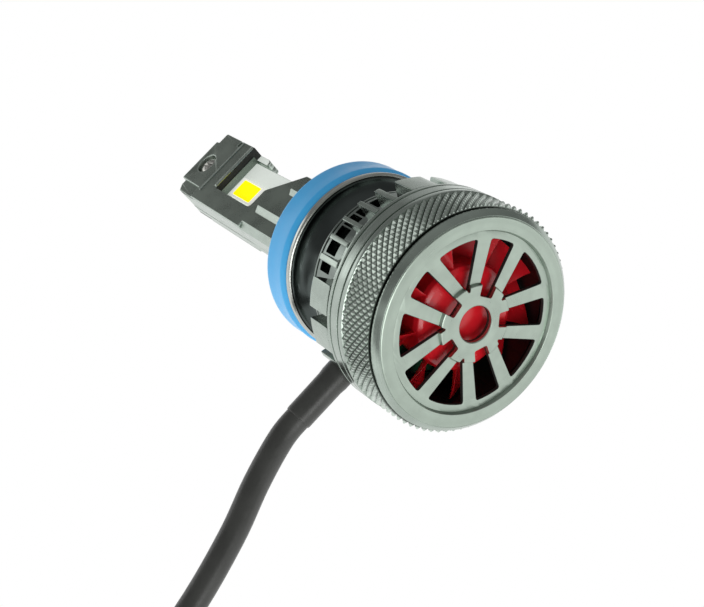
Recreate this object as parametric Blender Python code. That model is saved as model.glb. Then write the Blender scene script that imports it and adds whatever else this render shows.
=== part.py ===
"""LED headlight bulb: flat lamp stem, collar with rubber seal, finned cooler with fan, hanging pigtail.

Units are metres.  X runs from the lamp tip (negative) to the fan end (positive), Z is up,
and the two lamp faces look along -Y (near) and +Y (far).  The origin is the seat of the collar.
"""
import math

import bmesh
import bpy
from mathutils import Vector

MM = 0.001
GAP = 0.3 * MM

# Lamp stem
TIP_X = -44.0 * MM
COVER_TIP_X = -43.2 * MM
STEM_BACK_X = -2.2 * MM
STEM_HALF_WIDTH = 6.1 * MM
STEM_HALF_THICK = 3.1 * MM
CORE_HALF_THICK = 0.5 * MM
CORE_HALF_WIDTH = 4.75 * MM
CORE_BACK_X = 12.0 * MM
PAD_HALF_WIDTH = 4.1 * MM
PAD_BACK_X = -38.0 * MM
POCKET_FRONT_X = -33.3 * MM
POCKET_BACK_X = -22.0 * MM
POCKET_LOW_Z = -2.7 * MM
CORNER_TAB_TOP = 1.15 * MM
CORNER_TAB_Z = 5.1 * MM
CORNER_TAB_LENGTH = 3.6 * MM
WEDGE_BACK_X = -15.9 * MM
WEDGE_EDGE_Z = 4.8 * MM
SIDE_STEP_X = -20.6 * MM
SIDE_STEP_Z = -5.1 * MM
TONGUE_BACK_X = 8.0 * MM
TONGUE_HALF_WIDTH = 4.4 * MM
TONGUE_TOP = 2.7 * MM
RIDGE_WIDTH = 1.4 * MM
RIDGE_RISE = 0.3 * MM
KEY_LOW_TOP = 3.15 * MM
KEY_HIGH_TOP = 3.75 * MM

# Light source on each lamp face
LED_X = -28.1 * MM
LED_Z = -0.3 * MM
LED_LENGTH = 7.0 * MM
LED_WIDTH = 3.5 * MM
LED_BASE = 0.75 * MM
LED_TOP = 1.35 * MM
GLOW_LENGTH = 5.5 * MM
GLOW_WIDTH = 2.9 * MM
GLOW_TOP = 1.95 * MM

# Tip screw
SCREW_X = -41.3 * MM
SCREW_RECESS_R = 2.1 * MM
SCREW_HEAD_R = 1.6 * MM
SCREW_SHANK_R = 0.8 * MM

# Collar and seal
COLLAR_BORE_R = 7.35 * MM
COLLAR_DRUM_R = 10.9 * MM
COLLAR_RIM_R = 12.35 * MM
COLLAR_RIM_X = 5.6 * MM
COLLAR_BACK_X = 11.8 * MM
SET_SCREW_X = 9.0 * MM
SEAL_R = 12.7 * MM
SEAL_BORE_R = 11.2 * MM
SEAL_FRONT_X = 0.35 * MM
SEAL_BACK_X = 5.3 * MM
TAB_R = 12.1 * MM
TAB_ANGLES = (25.0, 90.0, 155.0)

# Cooler body
NECK_R = 7.0 * MM
NECK_BORE_R = 5.6 * MM
NECK_FRONT_X = -1.6 * MM
DISC_X = 13.8 * MM
FIN_FRONT_X = 15.2 * MM
FIN_BACK_X = 19.3 * MM
FIN_R = 14.2 * MM
FIN_ROOT_R = 11.3 * MM
CAVITY_R = 10.1 * MM
CAVITY_FRONT_X = 16.0 * MM
COOLER_BACK_X = 21.0 * MM
SLOT_SPAN = (14.95 * MM, 19.2 * MM)
SPIGOT_R = 12.8 * MM
FIN_SLOTS = ((5.3, 2.0), (16.1, 2.0), (27.9, 2.2), (51.0, 1.5), (72.0, 1.4))
FIN_TURN = -3.0
SHROUD_FRONT_X = 10.3 * MM
SHROUD_R = 11.06 * MM
SHROUD_BORE_R = 9.4 * MM
SHROUD_WINDOW_X = (11.6 * MM, 13.7 * MM)
SHROUD_WINDOW_COUNT = 3

# Knurled sleeve and wheel-style end cover
SLEEVE_R = 14.5 * MM
SLEEVE_BORE_R = 13.15 * MM
SLEEVE_FRONT_X = 19.8 * MM
SLEEVE_BACK_X = 28.8 * MM
KNURL_FRONT_X = 23.5 * MM
COVER_FRONT_X = 29.1 * MM
COVER_BACK_X = 30.0 * MM
COVER_R = 13.95 * MM
COVER_FACE_R = 13.2 * MM
COVER_LIP_R = 11.45 * MM
COVER_INNER_X = 29.0 * MM
COVER_DISC_X = 29.55 * MM
COVER_HUB_HOLE_R = 2.3 * MM
COVER_BOSS_R = 4.85 * MM
WINDOW_OUTER_R = 10.42 * MM
WINDOW_COUNT = 5
WIDE_WINDOW_ANGLE = 42.0
SHARP_WINDOW_ANGLE = 6.0

# Fan
FRAME_R = 11.7 * MM
FRAME_BORE_R = 11.0 * MM
FRAME_FRONT_X = 21.3 * MM
FRAME_BACK_X = 28.2 * MM
FRAME_BASE_X = 22.3 * MM
HUB_R = 6.9 * MM
HUB_FRONT_X = 22.9 * MM
HUB_BACK_X = 27.9 * MM
BLADE_R = 10.6 * MM
BLADE_COUNT = 9
SHAFT_R = 0.6 * MM

# Cord and connector
CORD_R = 1.7 * MM
RELIEF_X = 17.15 * MM
RELIEF_TOP_Z = -9.0 * MM
RELIEF_END_Z = -21.0 * MM
CONNECTOR_X = 24.0 * MM
CONNECTOR_Y = 4.5 * MM
BOOT_TOP_Z = -104.0 * MM
BOOT_END_Z = -114.0 * MM
HOUSING_TOP_Z = -114.3 * MM
HOUSING_END_Z = -138.0 * MM
HOUSING_LENGTH_X = 20.0 * MM
HOUSING_WIDTH_Y = 14.0 * MM
SOCKET_DEPTH = 14.0 * MM
SHELL = 1.4 * MM

CORD_ROUTE = (
    (17.15, 0.0, -21.3),
    (17.3, 0.1, -25.0),
    (18.6, 0.9, -31.0),
    (20.6, 2.2, -38.0),
    (22.6, 3.4, -48.0),
    (24.0, 4.3, -62.0),
    (24.3, 4.6, -78.0),
    (24.0, 4.5, -92.0),
    (24.0, 4.5, -103.7),
)


def clear_scene():
    for item in list(bpy.data.objects):
        bpy.data.objects.remove(item, do_unlink=True)


def make_material(name, colour, metallic, roughness):
    material = bpy.data.materials.new(name)
    material.use_nodes = True
    shader = material.node_tree.nodes["Principled BSDF"]
    shader.inputs["Base Color"].default_value = (*colour, 1.0)
    shader.inputs["Metallic"].default_value = metallic
    shader.inputs["Roughness"].default_value = roughness
    material.diffuse_color = (*colour, 1.0)
    return material


def finish_mesh(name, bm, look):
    bmesh.ops.remove_doubles(bm, verts=bm.verts, dist=1e-7)
    bmesh.ops.recalc_face_normals(bm, faces=bm.faces)
    mesh = bpy.data.meshes.new(name)
    bm.to_mesh(mesh)
    bm.free()
    item = bpy.data.objects.new(name, mesh)
    bpy.context.scene.collection.objects.link(item)
    if look is not None:
        mesh.materials.append(make_material(name, *look))
    return item


def add_ring(bm, point, segments):
    x, radius = point
    if radius < 1e-9:
        return [bm.verts.new((x, 0.0, 0.0))] * segments
    ring = []
    for step in range(segments):
        angle = 2.0 * math.pi * step / segments
        ring.append(bm.verts.new((x, radius * math.sin(angle), radius * math.cos(angle))))
    return ring


def add_face(bm, corners):
    unique = []
    for vert in corners:
        if vert not in unique:
            unique.append(vert)
    if len(unique) > 2:
        bm.faces.new(unique)


def turned(name, profile, segments, look):
    """Solid of revolution about X from a closed (x, radius) outline."""
    bm = bmesh.new()
    rings = [add_ring(bm, point, segments) for point in profile]
    count = len(rings)
    for index in range(count):
        first, second = rings[index], rings[(index + 1) % count]
        if first[0] is first[1] and second[0] is second[1]:
            continue
        for step in range(segments):
            after = (step + 1) % segments
            add_face(bm, [first[step], first[after], second[after], second[step]])
    return finish_mesh(name, bm, look)


def swap_axes(item, order):
    """Reorder the local axes of a mesh; used to stand a turned piece along Z or Y."""
    for vert in item.data.vertices:
        vert.co = Vector([vert.co[axis] for axis in order])
    bm = bmesh.new()
    bm.from_mesh(item.data)
    bmesh.ops.recalc_face_normals(bm, faces=bm.faces)
    bm.to_mesh(item.data)
    bm.free()


def shift(item, dx, dy, dz):
    for vert in item.data.vertices:
        vert.co += Vector((dx, dy, dz))


def plate(name, outline, low, high, look):
    """Straight prism along Y from an (x, z) outline."""
    bm = bmesh.new()
    lower = [bm.verts.new((x, low, z)) for x, z in outline]
    upper = [bm.verts.new((x, high, z)) for x, z in outline]
    bm.faces.new(lower)
    bm.faces.new(upper)
    count = len(outline)
    for index in range(count):
        after = (index + 1) % count
        bm.faces.new([lower[index], lower[after], upper[after], upper[index]])
    return finish_mesh(name, bm, look)


def block(name, low, high, look):
    outline = ((low[0], low[2]), (high[0], low[2]), (high[0], high[2]), (low[0], high[2]))
    return plate(name, outline, low[1], high[1], look)


def wedge(name, corners, look):
    """Six-sided solid from eight corners: four of one end, then four of the other."""
    bm = bmesh.new()
    verts = [bm.verts.new(corner) for corner in corners]
    bm.faces.new(verts[0:4])
    bm.faces.new(verts[4:8])
    for index in range(4):
        after = (index + 1) % 4
        bm.faces.new([verts[index], verts[after], verts[after + 4], verts[index + 4]])
    return finish_mesh(name, bm, look)


def combine(item, tool, operation):
    modifier = item.modifiers.new("shape", "BOOLEAN")
    modifier.operation = operation
    modifier.solver = "EXACT"
    modifier.object = tool
    graph = bpy.context.evaluated_depsgraph_get()
    result = bpy.data.meshes.new_from_object(item.evaluated_get(graph))
    item.modifiers.clear()
    item.data = result
    bpy.data.objects.remove(tool, do_unlink=True)
    tidy(item)
    return item


def tidy(item):
    bm = bmesh.new()
    bm.from_mesh(item.data)
    bmesh.ops.remove_doubles(bm, verts=bm.verts, dist=1e-7)
    bmesh.ops.dissolve_limit(
        bm, angle_limit=math.radians(0.5), verts=bm.verts, edges=bm.edges, delimit={"NORMAL"})
    bmesh.ops.dissolve_degenerate(bm, edges=bm.edges, dist=1e-7)
    bm.to_mesh(item.data)
    bm.free()


def cut(item, tool):
    return combine(item, tool, "DIFFERENCE")


def join(item, tool):
    return combine(item, tool, "UNION")


def mirror_y(item):
    for vert in item.data.vertices:
        vert.co.y = -vert.co.y
    bm = bmesh.new()
    bm.from_mesh(item.data)
    bmesh.ops.reverse_faces(bm, faces=bm.faces)
    bm.to_mesh(item.data)
    bm.free()


# ---------------------------------------------------------------- lamp stem

def cover_outline():
    """Outline of a cover half in (x, z), stepping in beside the light opening."""
    return (
        (COVER_TIP_X + 1.6 * MM, -STEM_HALF_WIDTH),
        (STEM_BACK_X, -STEM_HALF_WIDTH),
        (STEM_BACK_X, -TONGUE_HALF_WIDTH),
        (TONGUE_BACK_X, -TONGUE_HALF_WIDTH),
        (TONGUE_BACK_X, TONGUE_HALF_WIDTH),
        (STEM_BACK_X, TONGUE_HALF_WIDTH),
        (STEM_BACK_X, 5.8 * MM),
        (WEDGE_BACK_X, 5.8 * MM),
        (WEDGE_BACK_X - 1.2 * MM, WEDGE_EDGE_Z),
        (POCKET_FRONT_X + 3.4 * MM, WEDGE_EDGE_Z),
        (POCKET_FRONT_X + 3.0 * MM, 5.4 * MM),
        (POCKET_FRONT_X + 2.2 * MM, 5.9 * MM),
        (POCKET_FRONT_X + 1.2 * MM, STEM_HALF_WIDTH),
        (COVER_TIP_X, STEM_HALF_WIDTH),
        (COVER_TIP_X, PAD_HALF_WIDTH),
        (TIP_X, PAD_HALF_WIDTH),
        (TIP_X, -PAD_HALF_WIDTH),
        (COVER_TIP_X, -PAD_HALF_WIDTH),
        (COVER_TIP_X, -STEM_HALF_WIDTH + 1.0 * MM),
        (COVER_TIP_X + 0.5 * MM, -STEM_HALF_WIDTH + 0.35 * MM),
    )


def cut_light_opening(item):
    outline = (
        (POCKET_FRONT_X, POCKET_LOW_Z),
        (POCKET_BACK_X, POCKET_LOW_Z),
        (POCKET_BACK_X, 0.8 * MM),
        (WEDGE_BACK_X, 5.8 * MM),
        (WEDGE_BACK_X, 8.0 * MM),
        (POCKET_FRONT_X, 8.0 * MM),
    )
    cut(item, plate("tool", outline, -5.0 * MM, -CORNER_TAB_TOP, None))
    through = (
        (POCKET_FRONT_X, POCKET_LOW_Z),
        (POCKET_BACK_X, POCKET_LOW_Z),
        (POCKET_BACK_X, 0.8 * MM),
        (WEDGE_BACK_X, 5.8 * MM),
        (WEDGE_BACK_X, 8.0 * MM),
        (POCKET_FRONT_X + CORNER_TAB_LENGTH, 8.0 * MM),
        (POCKET_FRONT_X + CORNER_TAB_LENGTH, CORNER_TAB_Z),
        (POCKET_FRONT_X, CORNER_TAB_Z),
    )
    cut(item, plate("tool", through, -4.0 * MM, 0.0, None))


def cut_tip_details(item):
    ledge_low = (COVER_TIP_X - 1.0 * MM, -5.0 * MM, -8.0 * MM)
    ledge_high = (PAD_BACK_X, -STEM_HALF_THICK + 0.4 * MM, -PAD_HALF_WIDTH)
    cut(item, block("tool", ledge_low, ledge_high, None))
    groove_low = (PAD_BACK_X, -5.0 * MM, -PAD_HALF_WIDTH - 0.4 * MM)
    groove_high = (PAD_BACK_X + 0.8 * MM, -STEM_HALF_THICK + 0.5 * MM, 8.0 * MM)
    cut(item, block("tool", groove_low, groove_high, None))
    recess = turned("tool", ((1.9 * MM, 0.0), (1.9 * MM, SCREW_RECESS_R), (5.0 * MM, SCREW_RECESS_R),
                             (5.0 * MM, 0.0)), 32, None)
    stand_in_y(recess, SCREW_X)
    cut(item, recess)
    hole = turned("tool", ((0.3 * MM, 0.0), (0.3 * MM, SCREW_SHANK_R + GAP), (5.0 * MM, SCREW_SHANK_R + GAP),
                           (5.0 * MM, 0.0)), 24, None)
    stand_in_y(hole, SCREW_X)
    cut(item, hole)


def stand_in_y(item, centre_x):
    """Turn a piece made about X so that its axis points along -Y and centre it at the screw."""
    for vert in item.data.vertices:
        x, y, z = vert.co
        vert.co = Vector((y + centre_x, -x, z))
    bm = bmesh.new()
    bm.from_mesh(item.data)
    bmesh.ops.recalc_face_normals(bm, faces=bm.faces)
    bm.to_mesh(item.data)
    bm.free()


def cut_side_step(item):
    low = (SIDE_STEP_X, -5.0 * MM, -8.0 * MM)
    high = (0.0, -STEM_HALF_THICK + 0.9 * MM, SIDE_STEP_Z)
    cut(item, block("tool", low, high, None))


def cut_key_slots(item):
    for low_z, start in ((-2.9 * MM, -19.6 * MM), (1.8 * MM, -16.4 * MM)):
        low = (start - GAP, -5.0 * MM, low_z - GAP)
        high = (-4.0 * MM + GAP, -2.3 * MM, low_z + 1.1 * MM + GAP)
        cut(item, block("tool", low, high, None))


def trim_tongue(item):
    low = (STEM_BACK_X, -5.0 * MM, -9.0 * MM)
    high = (TONGUE_BACK_X + 1.0 * MM, -TONGUE_TOP, 9.0 * MM)
    cut(item, block("tool", low, high, None))


def cover_half(name, far):
    inner = CORE_HALF_THICK + GAP
    look = ((0.12, 0.13, 0.125), 0.9, 0.32)
    item = plate(name, cover_outline(), -STEM_HALF_THICK, -inner, look)
    ridge_low = (POCKET_FRONT_X - RIDGE_WIDTH, -STEM_HALF_THICK - RIDGE_RISE, POCKET_LOW_Z)
    ridge_high = (POCKET_FRONT_X, -STEM_HALF_THICK + 0.5 * MM, STEM_HALF_WIDTH - 0.2 * MM)
    join(item, block("tool", ridge_low, ridge_high, None))
    cut_light_opening(item)
    cut_tip_details(item)
    cut_side_step(item)
    cut_key_slots(item)
    trim_tongue(item)
    if far:
        mirror_y(item)
    return item


def guide_key(name, low_z, start, far):
    """A rib whose outer face slopes, low at the -Z edge and high at the +Z edge."""
    high_z = low_z + 1.1 * MM
    section = ((-2.6 * MM, low_z), (-KEY_LOW_TOP, low_z), (-KEY_HIGH_TOP, high_z), (-2.6 * MM, high_z))
    corners = []
    for x in (start, -4.0 * MM):
        corners.extend([(x, y, z) for y, z in section])
    item = wedge(name, corners, ((0.62, 0.65, 0.62), 0.9, 0.35))
    if far:
        mirror_y(item)


def core_board():
    outline = (
        (COVER_TIP_X + 0.6 * MM, -CORE_HALF_WIDTH),
        (CORE_BACK_X, -CORE_HALF_WIDTH),
        (CORE_BACK_X, CORE_HALF_WIDTH),
        (COVER_TIP_X + 0.6 * MM, CORE_HALF_WIDTH),
    )
    look = ((0.72, 0.42, 0.24), 1.0, 0.3)
    item = plate("core_board", outline, -CORE_HALF_THICK, CORE_HALF_THICK, look)
    hole = turned("tool", ((-3.0 * MM, 0.0), (-3.0 * MM, SCREW_SHANK_R + GAP), (3.0 * MM, SCREW_SHANK_R + GAP),
                           (3.0 * MM, 0.0)), 24, None)
    stand_in_y(hole, SCREW_X)
    cut(item, hole)


def light_source(side, far):
    low = (LED_X - 0.5 * LED_LENGTH, -LED_TOP, LED_Z - 0.5 * LED_WIDTH)
    high = (LED_X + 0.5 * LED_LENGTH, -LED_BASE, LED_Z + 0.5 * LED_WIDTH)
    package = block("led_package_" + side, low, high, ((0.88, 0.88, 0.84), 0.0, 0.45))
    top = -LED_TOP - GAP
    low = (LED_X - 0.5 * GLOW_LENGTH, -GLOW_TOP, LED_Z - 0.5 * GLOW_WIDTH)
    high = (LED_X + 0.5 * GLOW_LENGTH, top, LED_Z + 0.5 * GLOW_WIDTH)
    glow = block("led_phosphor_" + side, low, high, ((0.95, 0.85, 0.05), 0.0, 0.5))
    if far:
        mirror_y(package)
        mirror_y(glow)


def tip_screw():
    profile = (
        (-2.9 * MM, 0.0),
        (-2.9 * MM, SCREW_SHANK_R),
        (2.2 * MM, SCREW_SHANK_R),
        (2.2 * MM, SCREW_HEAD_R),
        (2.55 * MM, SCREW_HEAD_R),
        (2.9 * MM, 1.1 * MM),
        (2.9 * MM, 0.0),
    )
    item = turned("tip_screw", profile, 32, ((0.75, 0.74, 0.70), 1.0, 0.25))
    stand_in_y(item, SCREW_X)
    for low, high in (((-1.0, -0.22), (1.0, 0.22)), ((-0.22, -1.0), (0.22, 1.0))):
        corner_low = (SCREW_X + low[0] * MM, -5.0 * MM, low[1] * MM)
        corner_high = (SCREW_X + high[0] * MM, -2.45 * MM, high[1] * MM)
        cut(item, block("tool", corner_low, corner_high, None))


def tip_nut():
    profile = ((2.2 * MM, SCREW_SHANK_R + GAP), (2.2 * MM, 1.75 * MM), (2.9 * MM, 1.75 * MM),
               (2.9 * MM, SCREW_SHANK_R + GAP))
    item = turned("tip_nut", profile, 6, ((0.70, 0.70, 0.67), 1.0, 0.3))
    stand_in_y(item, SCREW_X)
    mirror_y(item)


# ---------------------------------------------------------------- collar

def collar_body():
    profile = (
        (-1.8 * MM, COLLAR_BORE_R),
        (-1.8 * MM, COLLAR_DRUM_R - 0.4 * MM),
        (-1.4 * MM, COLLAR_DRUM_R),
        (COLLAR_RIM_X, COLLAR_DRUM_R),
        (COLLAR_RIM_X, COLLAR_RIM_R),
        (COLLAR_RIM_X + 0.4 * MM, COLLAR_RIM_R),
        (COLLAR_RIM_X + 0.6 * MM, COLLAR_RIM_R - 0.3 * MM),
        (6.35 * MM, 11.2 * MM),
        (6.75 * MM, 10.2 * MM),
        (7.5 * MM, 9.25 * MM),
        (8.6 * MM, 8.5 * MM),
        (10.0 * MM, 8.1 * MM),
        (COLLAR_BACK_X, 8.0 * MM),
        (COLLAR_BACK_X, COLLAR_BORE_R),
    )
    item = turned("collar_body", profile, 48, ((0.16, 0.17, 0.17), 1.0, 0.18))
    for angle in TAB_ANGLES:
        tab = block("tool", (-1.5 * MM, -2.4 * MM, COLLAR_DRUM_R - 1.0 * MM), (-0.1 * MM, 2.4 * MM, TAB_R), None)
        turn_about_x(tab, angle)
        join(item, tab)
    hole = turned("tool", ((7.6 * MM, 0.0), (7.6 * MM, 1.2 * MM), (16.0 * MM, 1.2 * MM), (16.0 * MM, 0.0)), 24, None)
    stand_in_z(hole, SET_SCREW_X)
    cut(item, hole)
    hole = turned("tool", ((7.0 * MM, 0.0), (7.0 * MM, 0.75 * MM), (9.0 * MM, 0.75 * MM), (9.0 * MM, 0.0)), 24, None)
    stand_in_z(hole, SET_SCREW_X)
    cut(item, hole)


def turn_about_x(item, degrees):
    angle = math.radians(degrees)
    cosine, sine = math.cos(angle), math.sin(angle)
    for vert in item.data.vertices:
        x, y, z = vert.co
        vert.co = Vector((x, y * cosine + z * sine, z * cosine - y * sine))


def stand_in_z(item, centre_x):
    """Turn a piece made about X so that its axis points along +Z."""
    for vert in item.data.vertices:
        x, y, z = vert.co
        vert.co = Vector((y + centre_x, z, x))
    bm = bmesh.new()
    bm.from_mesh(item.data)
    bmesh.ops.recalc_face_normals(bm, faces=bm.faces)
    bm.to_mesh(item.data)
    bm.free()


def collar_set_screw():
    profile = ((7.9 * MM, 0.0), (7.9 * MM, 0.9 * MM), (8.9 * MM, 0.9 * MM), (8.9 * MM, 0.0))
    item = turned("collar_set_screw", profile, 24, ((0.1, 0.1, 0.1), 1.0, 0.35))
    stand_in_z(item, SET_SCREW_X)
    socket = turned("tool", ((8.4 * MM, 0.0), (8.4 * MM, 0.45 * MM), (9.5 * MM, 0.45 * MM), (9.5 * MM, 0.0)), 6, None)
    stand_in_z(socket, SET_SCREW_X)
    cut(item, socket)


def collar_seal():
    profile = (
        (SEAL_FRONT_X, SEAL_BORE_R),
        (SEAL_FRONT_X, SEAL_R - 0.6 * MM),
        (SEAL_FRONT_X + 0.25 * MM, SEAL_R - 0.2 * MM),
        (SEAL_FRONT_X + 0.7 * MM, SEAL_R),
        (SEAL_BACK_X - 0.7 * MM, SEAL_R),
        (SEAL_BACK_X - 0.25 * MM, SEAL_R - 0.2 * MM),
        (SEAL_BACK_X, SEAL_R - 0.6 * MM),
        (SEAL_BACK_X, SEAL_BORE_R),
    )
    turned("collar_seal", profile, 52, ((0.06, 0.26, 0.62), 0.0, 0.4))


def neck_ring():
    profile = (
        (12.15 * MM, NECK_R + GAP),
        (12.15 * MM, 8.9 * MM),
        (12.35 * MM, 9.1 * MM),
        (13.3 * MM, 9.1 * MM),
        (13.5 * MM, 8.9 * MM),
        (13.5 * MM, NECK_R + GAP),
    )
    turned("neck_ring", profile, 40, ((0.03, 0.03, 0.03), 0.0, 0.5))


# ---------------------------------------------------------------- cooler

def cooler_profile():
    return (
        (NECK_FRONT_X, NECK_BORE_R),
        (NECK_FRONT_X, NECK_R),
        (DISC_X, NECK_R),
        (DISC_X, SHROUD_BORE_R),
        (SHROUD_FRONT_X, SHROUD_BORE_R),
        (SHROUD_FRONT_X, SHROUD_R),
        (SHROUD_FRONT_X + 0.4 * MM, SHROUD_R),
        (SHROUD_FRONT_X + 0.4 * MM, SHROUD_R - 0.2 * MM),
        (SHROUD_FRONT_X + 0.65 * MM, SHROUD_R - 0.2 * MM),
        (SHROUD_FRONT_X + 0.65 * MM, SHROUD_R),
        (FIN_FRONT_X, SHROUD_R),
        (FIN_FRONT_X, FIN_R - 0.2 * MM),
        (FIN_FRONT_X + 0.2 * MM, FIN_R),
        (FIN_BACK_X, FIN_R),
        (FIN_BACK_X, SPIGOT_R),
        (COOLER_BACK_X, SPIGOT_R),
        (COOLER_BACK_X, CAVITY_R),
        (CAVITY_FRONT_X, CAVITY_R),
        (CAVITY_FRONT_X, NECK_BORE_R),
    )


def slot_tools():
    """Radial slots, the same on both lamp faces; angles run from the lamp face towards Z."""
    bm = bmesh.new()
    half_turns = []
    for angle, width in FIN_SLOTS:
        half_turns.append((90.0 - angle, width))
        half_turns.append((90.0 + angle, width))
    for base in (0.0, 180.0):
        for angle, width in half_turns:
            add_slot_box(bm, base + angle + FIN_TURN, 0.5 * width * MM, FIN_ROOT_R, SLOT_SPAN)
    return finish_mesh("tool", bm, None)


def shroud_tools():
    """Small openings in the ring ahead of the middle slots of each lamp face."""
    bm = bmesh.new()
    for base in (0.0, 180.0):
        for angle, width in FIN_SLOTS[:SHROUD_WINDOW_COUNT]:
            for sign in (-1.0, 1.0):
                degrees = base + 90.0 + sign * angle + FIN_TURN
                add_slot_box(bm, degrees, 0.4 * width * MM, SHROUD_BORE_R - 0.2 * MM, SHROUD_WINDOW_X)
    return finish_mesh("tool", bm, None)


def add_slot_box(bm, degrees, half_width, root, span):
    angle = math.radians(degrees)
    out = Vector((0.0, math.sin(angle), math.cos(angle)))
    side = Vector((0.0, math.cos(angle), -math.sin(angle)))
    verts = []
    for x in span:
        for radius, sign in ((root, -1.0), (root, 1.0), (16.0 * MM, 1.0), (16.0 * MM, -1.0)):
            point = out * radius + side * (half_width * sign)
            verts.append(bm.verts.new((x, point.y, point.z)))
    bm.faces.new(verts[0:4])
    bm.faces.new(verts[4:8])
    for index in range(4):
        after = (index + 1) % 4
        bm.faces.new([verts[index], verts[after], verts[after + 4], verts[index + 4]])


def cooler_body():
    item = turned("cooler_body", cooler_profile(), 60, ((0.45, 0.48, 0.46), 1.0, 0.25))
    cut(item, slot_tools())
    cut(item, shroud_tools())
    half = CORD_R + 2.0 * GAP
    low = (FIN_FRONT_X - 0.25 * MM, -half, -16.0 * MM)
    high = (FIN_BACK_X - 0.15 * MM, half, -8.5 * MM)
    cut(item, block("tool", low, high, None))


def knurl_sleeve():
    front = SLEEVE_FRONT_X
    profile = (
        (front, SLEEVE_BORE_R),
        (front, SLEEVE_R - 0.3 * MM),
        (front + 0.2 * MM, SLEEVE_R),
        (20.6 * MM, SLEEVE_R),
        (20.6 * MM, SLEEVE_R - 0.25 * MM),
        (20.85 * MM, SLEEVE_R - 0.25 * MM),
        (20.85 * MM, SLEEVE_R),
        (22.35 * MM, SLEEVE_R),
        (22.35 * MM, SLEEVE_R - 0.25 * MM),
        (22.6 * MM, SLEEVE_R - 0.25 * MM),
        (22.6 * MM, SLEEVE_R),
        (KNURL_FRONT_X - 0.15 * MM, SLEEVE_R),
        (KNURL_FRONT_X, SLEEVE_R - 0.15 * MM),
        (SLEEVE_BACK_X - 0.3 * MM, SLEEVE_R - 0.15 * MM),
        (SLEEVE_BACK_X, SLEEVE_R - 0.5 * MM),
        (SLEEVE_BACK_X, SLEEVE_BORE_R),
    )
    turned("knurl_sleeve", profile, 60, ((0.5, 0.53, 0.5), 1.0, 0.3))


def window_outline(wide):
    """Window corners as (distance out, sideways) before turning about X."""
    if wide:
        inner, half_in, half_out = 3.4 * MM, 0.95 * MM, 1.78 * MM
        outer = math.sqrt(WINDOW_OUTER_R ** 2 - half_out ** 2)
        return ((inner, -half_in), (outer, -half_out), (WINDOW_OUTER_R, 0.0), (outer, half_out), (inner, half_in))
    corners = [(4.4 * MM, -0.12 * MM)]
    for degrees in (-15.3, -7.6, 0.0, 7.6, 15.3):
        angle = math.radians(degrees)
        corners.append((WINDOW_OUTER_R * math.cos(angle), WINDOW_OUTER_R * math.sin(angle)))
    corners.append((4.4 * MM, 0.12 * MM))
    return tuple(corners)


def window_tools():
    bm = bmesh.new()
    for step in range(WINDOW_COUNT):
        turn = 360.0 / WINDOW_COUNT * step
        add_window(bm, window_outline(True), WIDE_WINDOW_ANGLE + turn)
        add_window(bm, window_outline(False), SHARP_WINDOW_ANGLE + turn)
    return finish_mesh("tool", bm, None)


def add_window(bm, outline, degrees):
    angle = math.radians(degrees)
    out = Vector((0.0, math.sin(angle), math.cos(angle)))
    side = Vector((0.0, math.cos(angle), -math.sin(angle)))
    layers = []
    for x in (27.0 * MM, 31.0 * MM):
        points = [out * far + side * across for far, across in outline]
        layers.append([bm.verts.new((x, point.y, point.z)) for point in points])
    bm.faces.new(layers[0])
    bm.faces.new(layers[1])
    count = len(outline)
    for index in range(count):
        after = (index + 1) % count
        bm.faces.new([layers[0][index], layers[0][after], layers[1][after], layers[1][index]])


def wheel_cover():
    profile = (
        (COVER_INNER_X, COVER_HUB_HOLE_R),
        (COVER_INNER_X, 11.9 * MM),
        (27.6 * MM, 12.15 * MM),
        (27.6 * MM, 12.8 * MM),
        (COVER_FRONT_X, 12.8 * MM),
        (COVER_FRONT_X, COVER_R),
        (COVER_FRONT_X + 0.2 * MM, COVER_R),
        (COVER_BACK_X, COVER_FACE_R),
        (COVER_BACK_X, COVER_LIP_R),
        (COVER_DISC_X, COVER_LIP_R - 0.1 * MM),
        (COVER_DISC_X, COVER_BOSS_R + 0.2 * MM),
        (COVER_BACK_X, COVER_BOSS_R),
        (COVER_BACK_X, COVER_HUB_HOLE_R),
    )
    item = turned("wheel_cover", profile, 60, ((0.55, 0.6, 0.56), 1.0, 0.4))
    cut(item, window_tools())


# ---------------------------------------------------------------- fan

def fan_frame():
    profile = (
        (FRAME_FRONT_X, FRAME_BORE_R),
        (FRAME_FRONT_X, FRAME_R),
        (FRAME_BACK_X, FRAME_R),
        (FRAME_BACK_X, FRAME_BORE_R),
    )
    item = turned("fan_frame", profile, 48, ((0.015, 0.015, 0.016), 0.0, 0.4))
    middle = (
        (FRAME_FRONT_X, 0.0),
        (FRAME_FRONT_X, 5.6 * MM),
        (FRAME_BASE_X, 5.6 * MM),
        (FRAME_BASE_X, 0.0),
    )
    spider = turned("tool", middle, 40, None)
    for step in range(2):
        low = (FRAME_FRONT_X, -1.0 * MM, -11.4 * MM)
        high = (FRAME_BASE_X, 1.0 * MM, 11.4 * MM)
        arm = block("tool", low, high, None)
        turn_about_x(arm, 90.0 * step + 30.0)
        join(spider, arm)
    join(item, spider)


def blade(bm, degrees):
    """One fan blade: a thin plate twisted about its radial line."""
    rows = []
    for step in range(4):
        share = step / 3.0
        radius = HUB_R - 0.3 * MM + (BLADE_R - HUB_R + 0.3 * MM) * share
        twist = math.radians(52.0 - 18.0 * share)
        rows.append(blade_row(bm, radius, twist, math.radians(degrees)))
    bm.faces.new(rows[0])
    bm.faces.new(rows[-1])
    for first, second in zip(rows, rows[1:]):
        for index in range(4):
            after = (index + 1) % 4
            bm.faces.new([first[index], first[after], second[after], second[index]])


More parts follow.
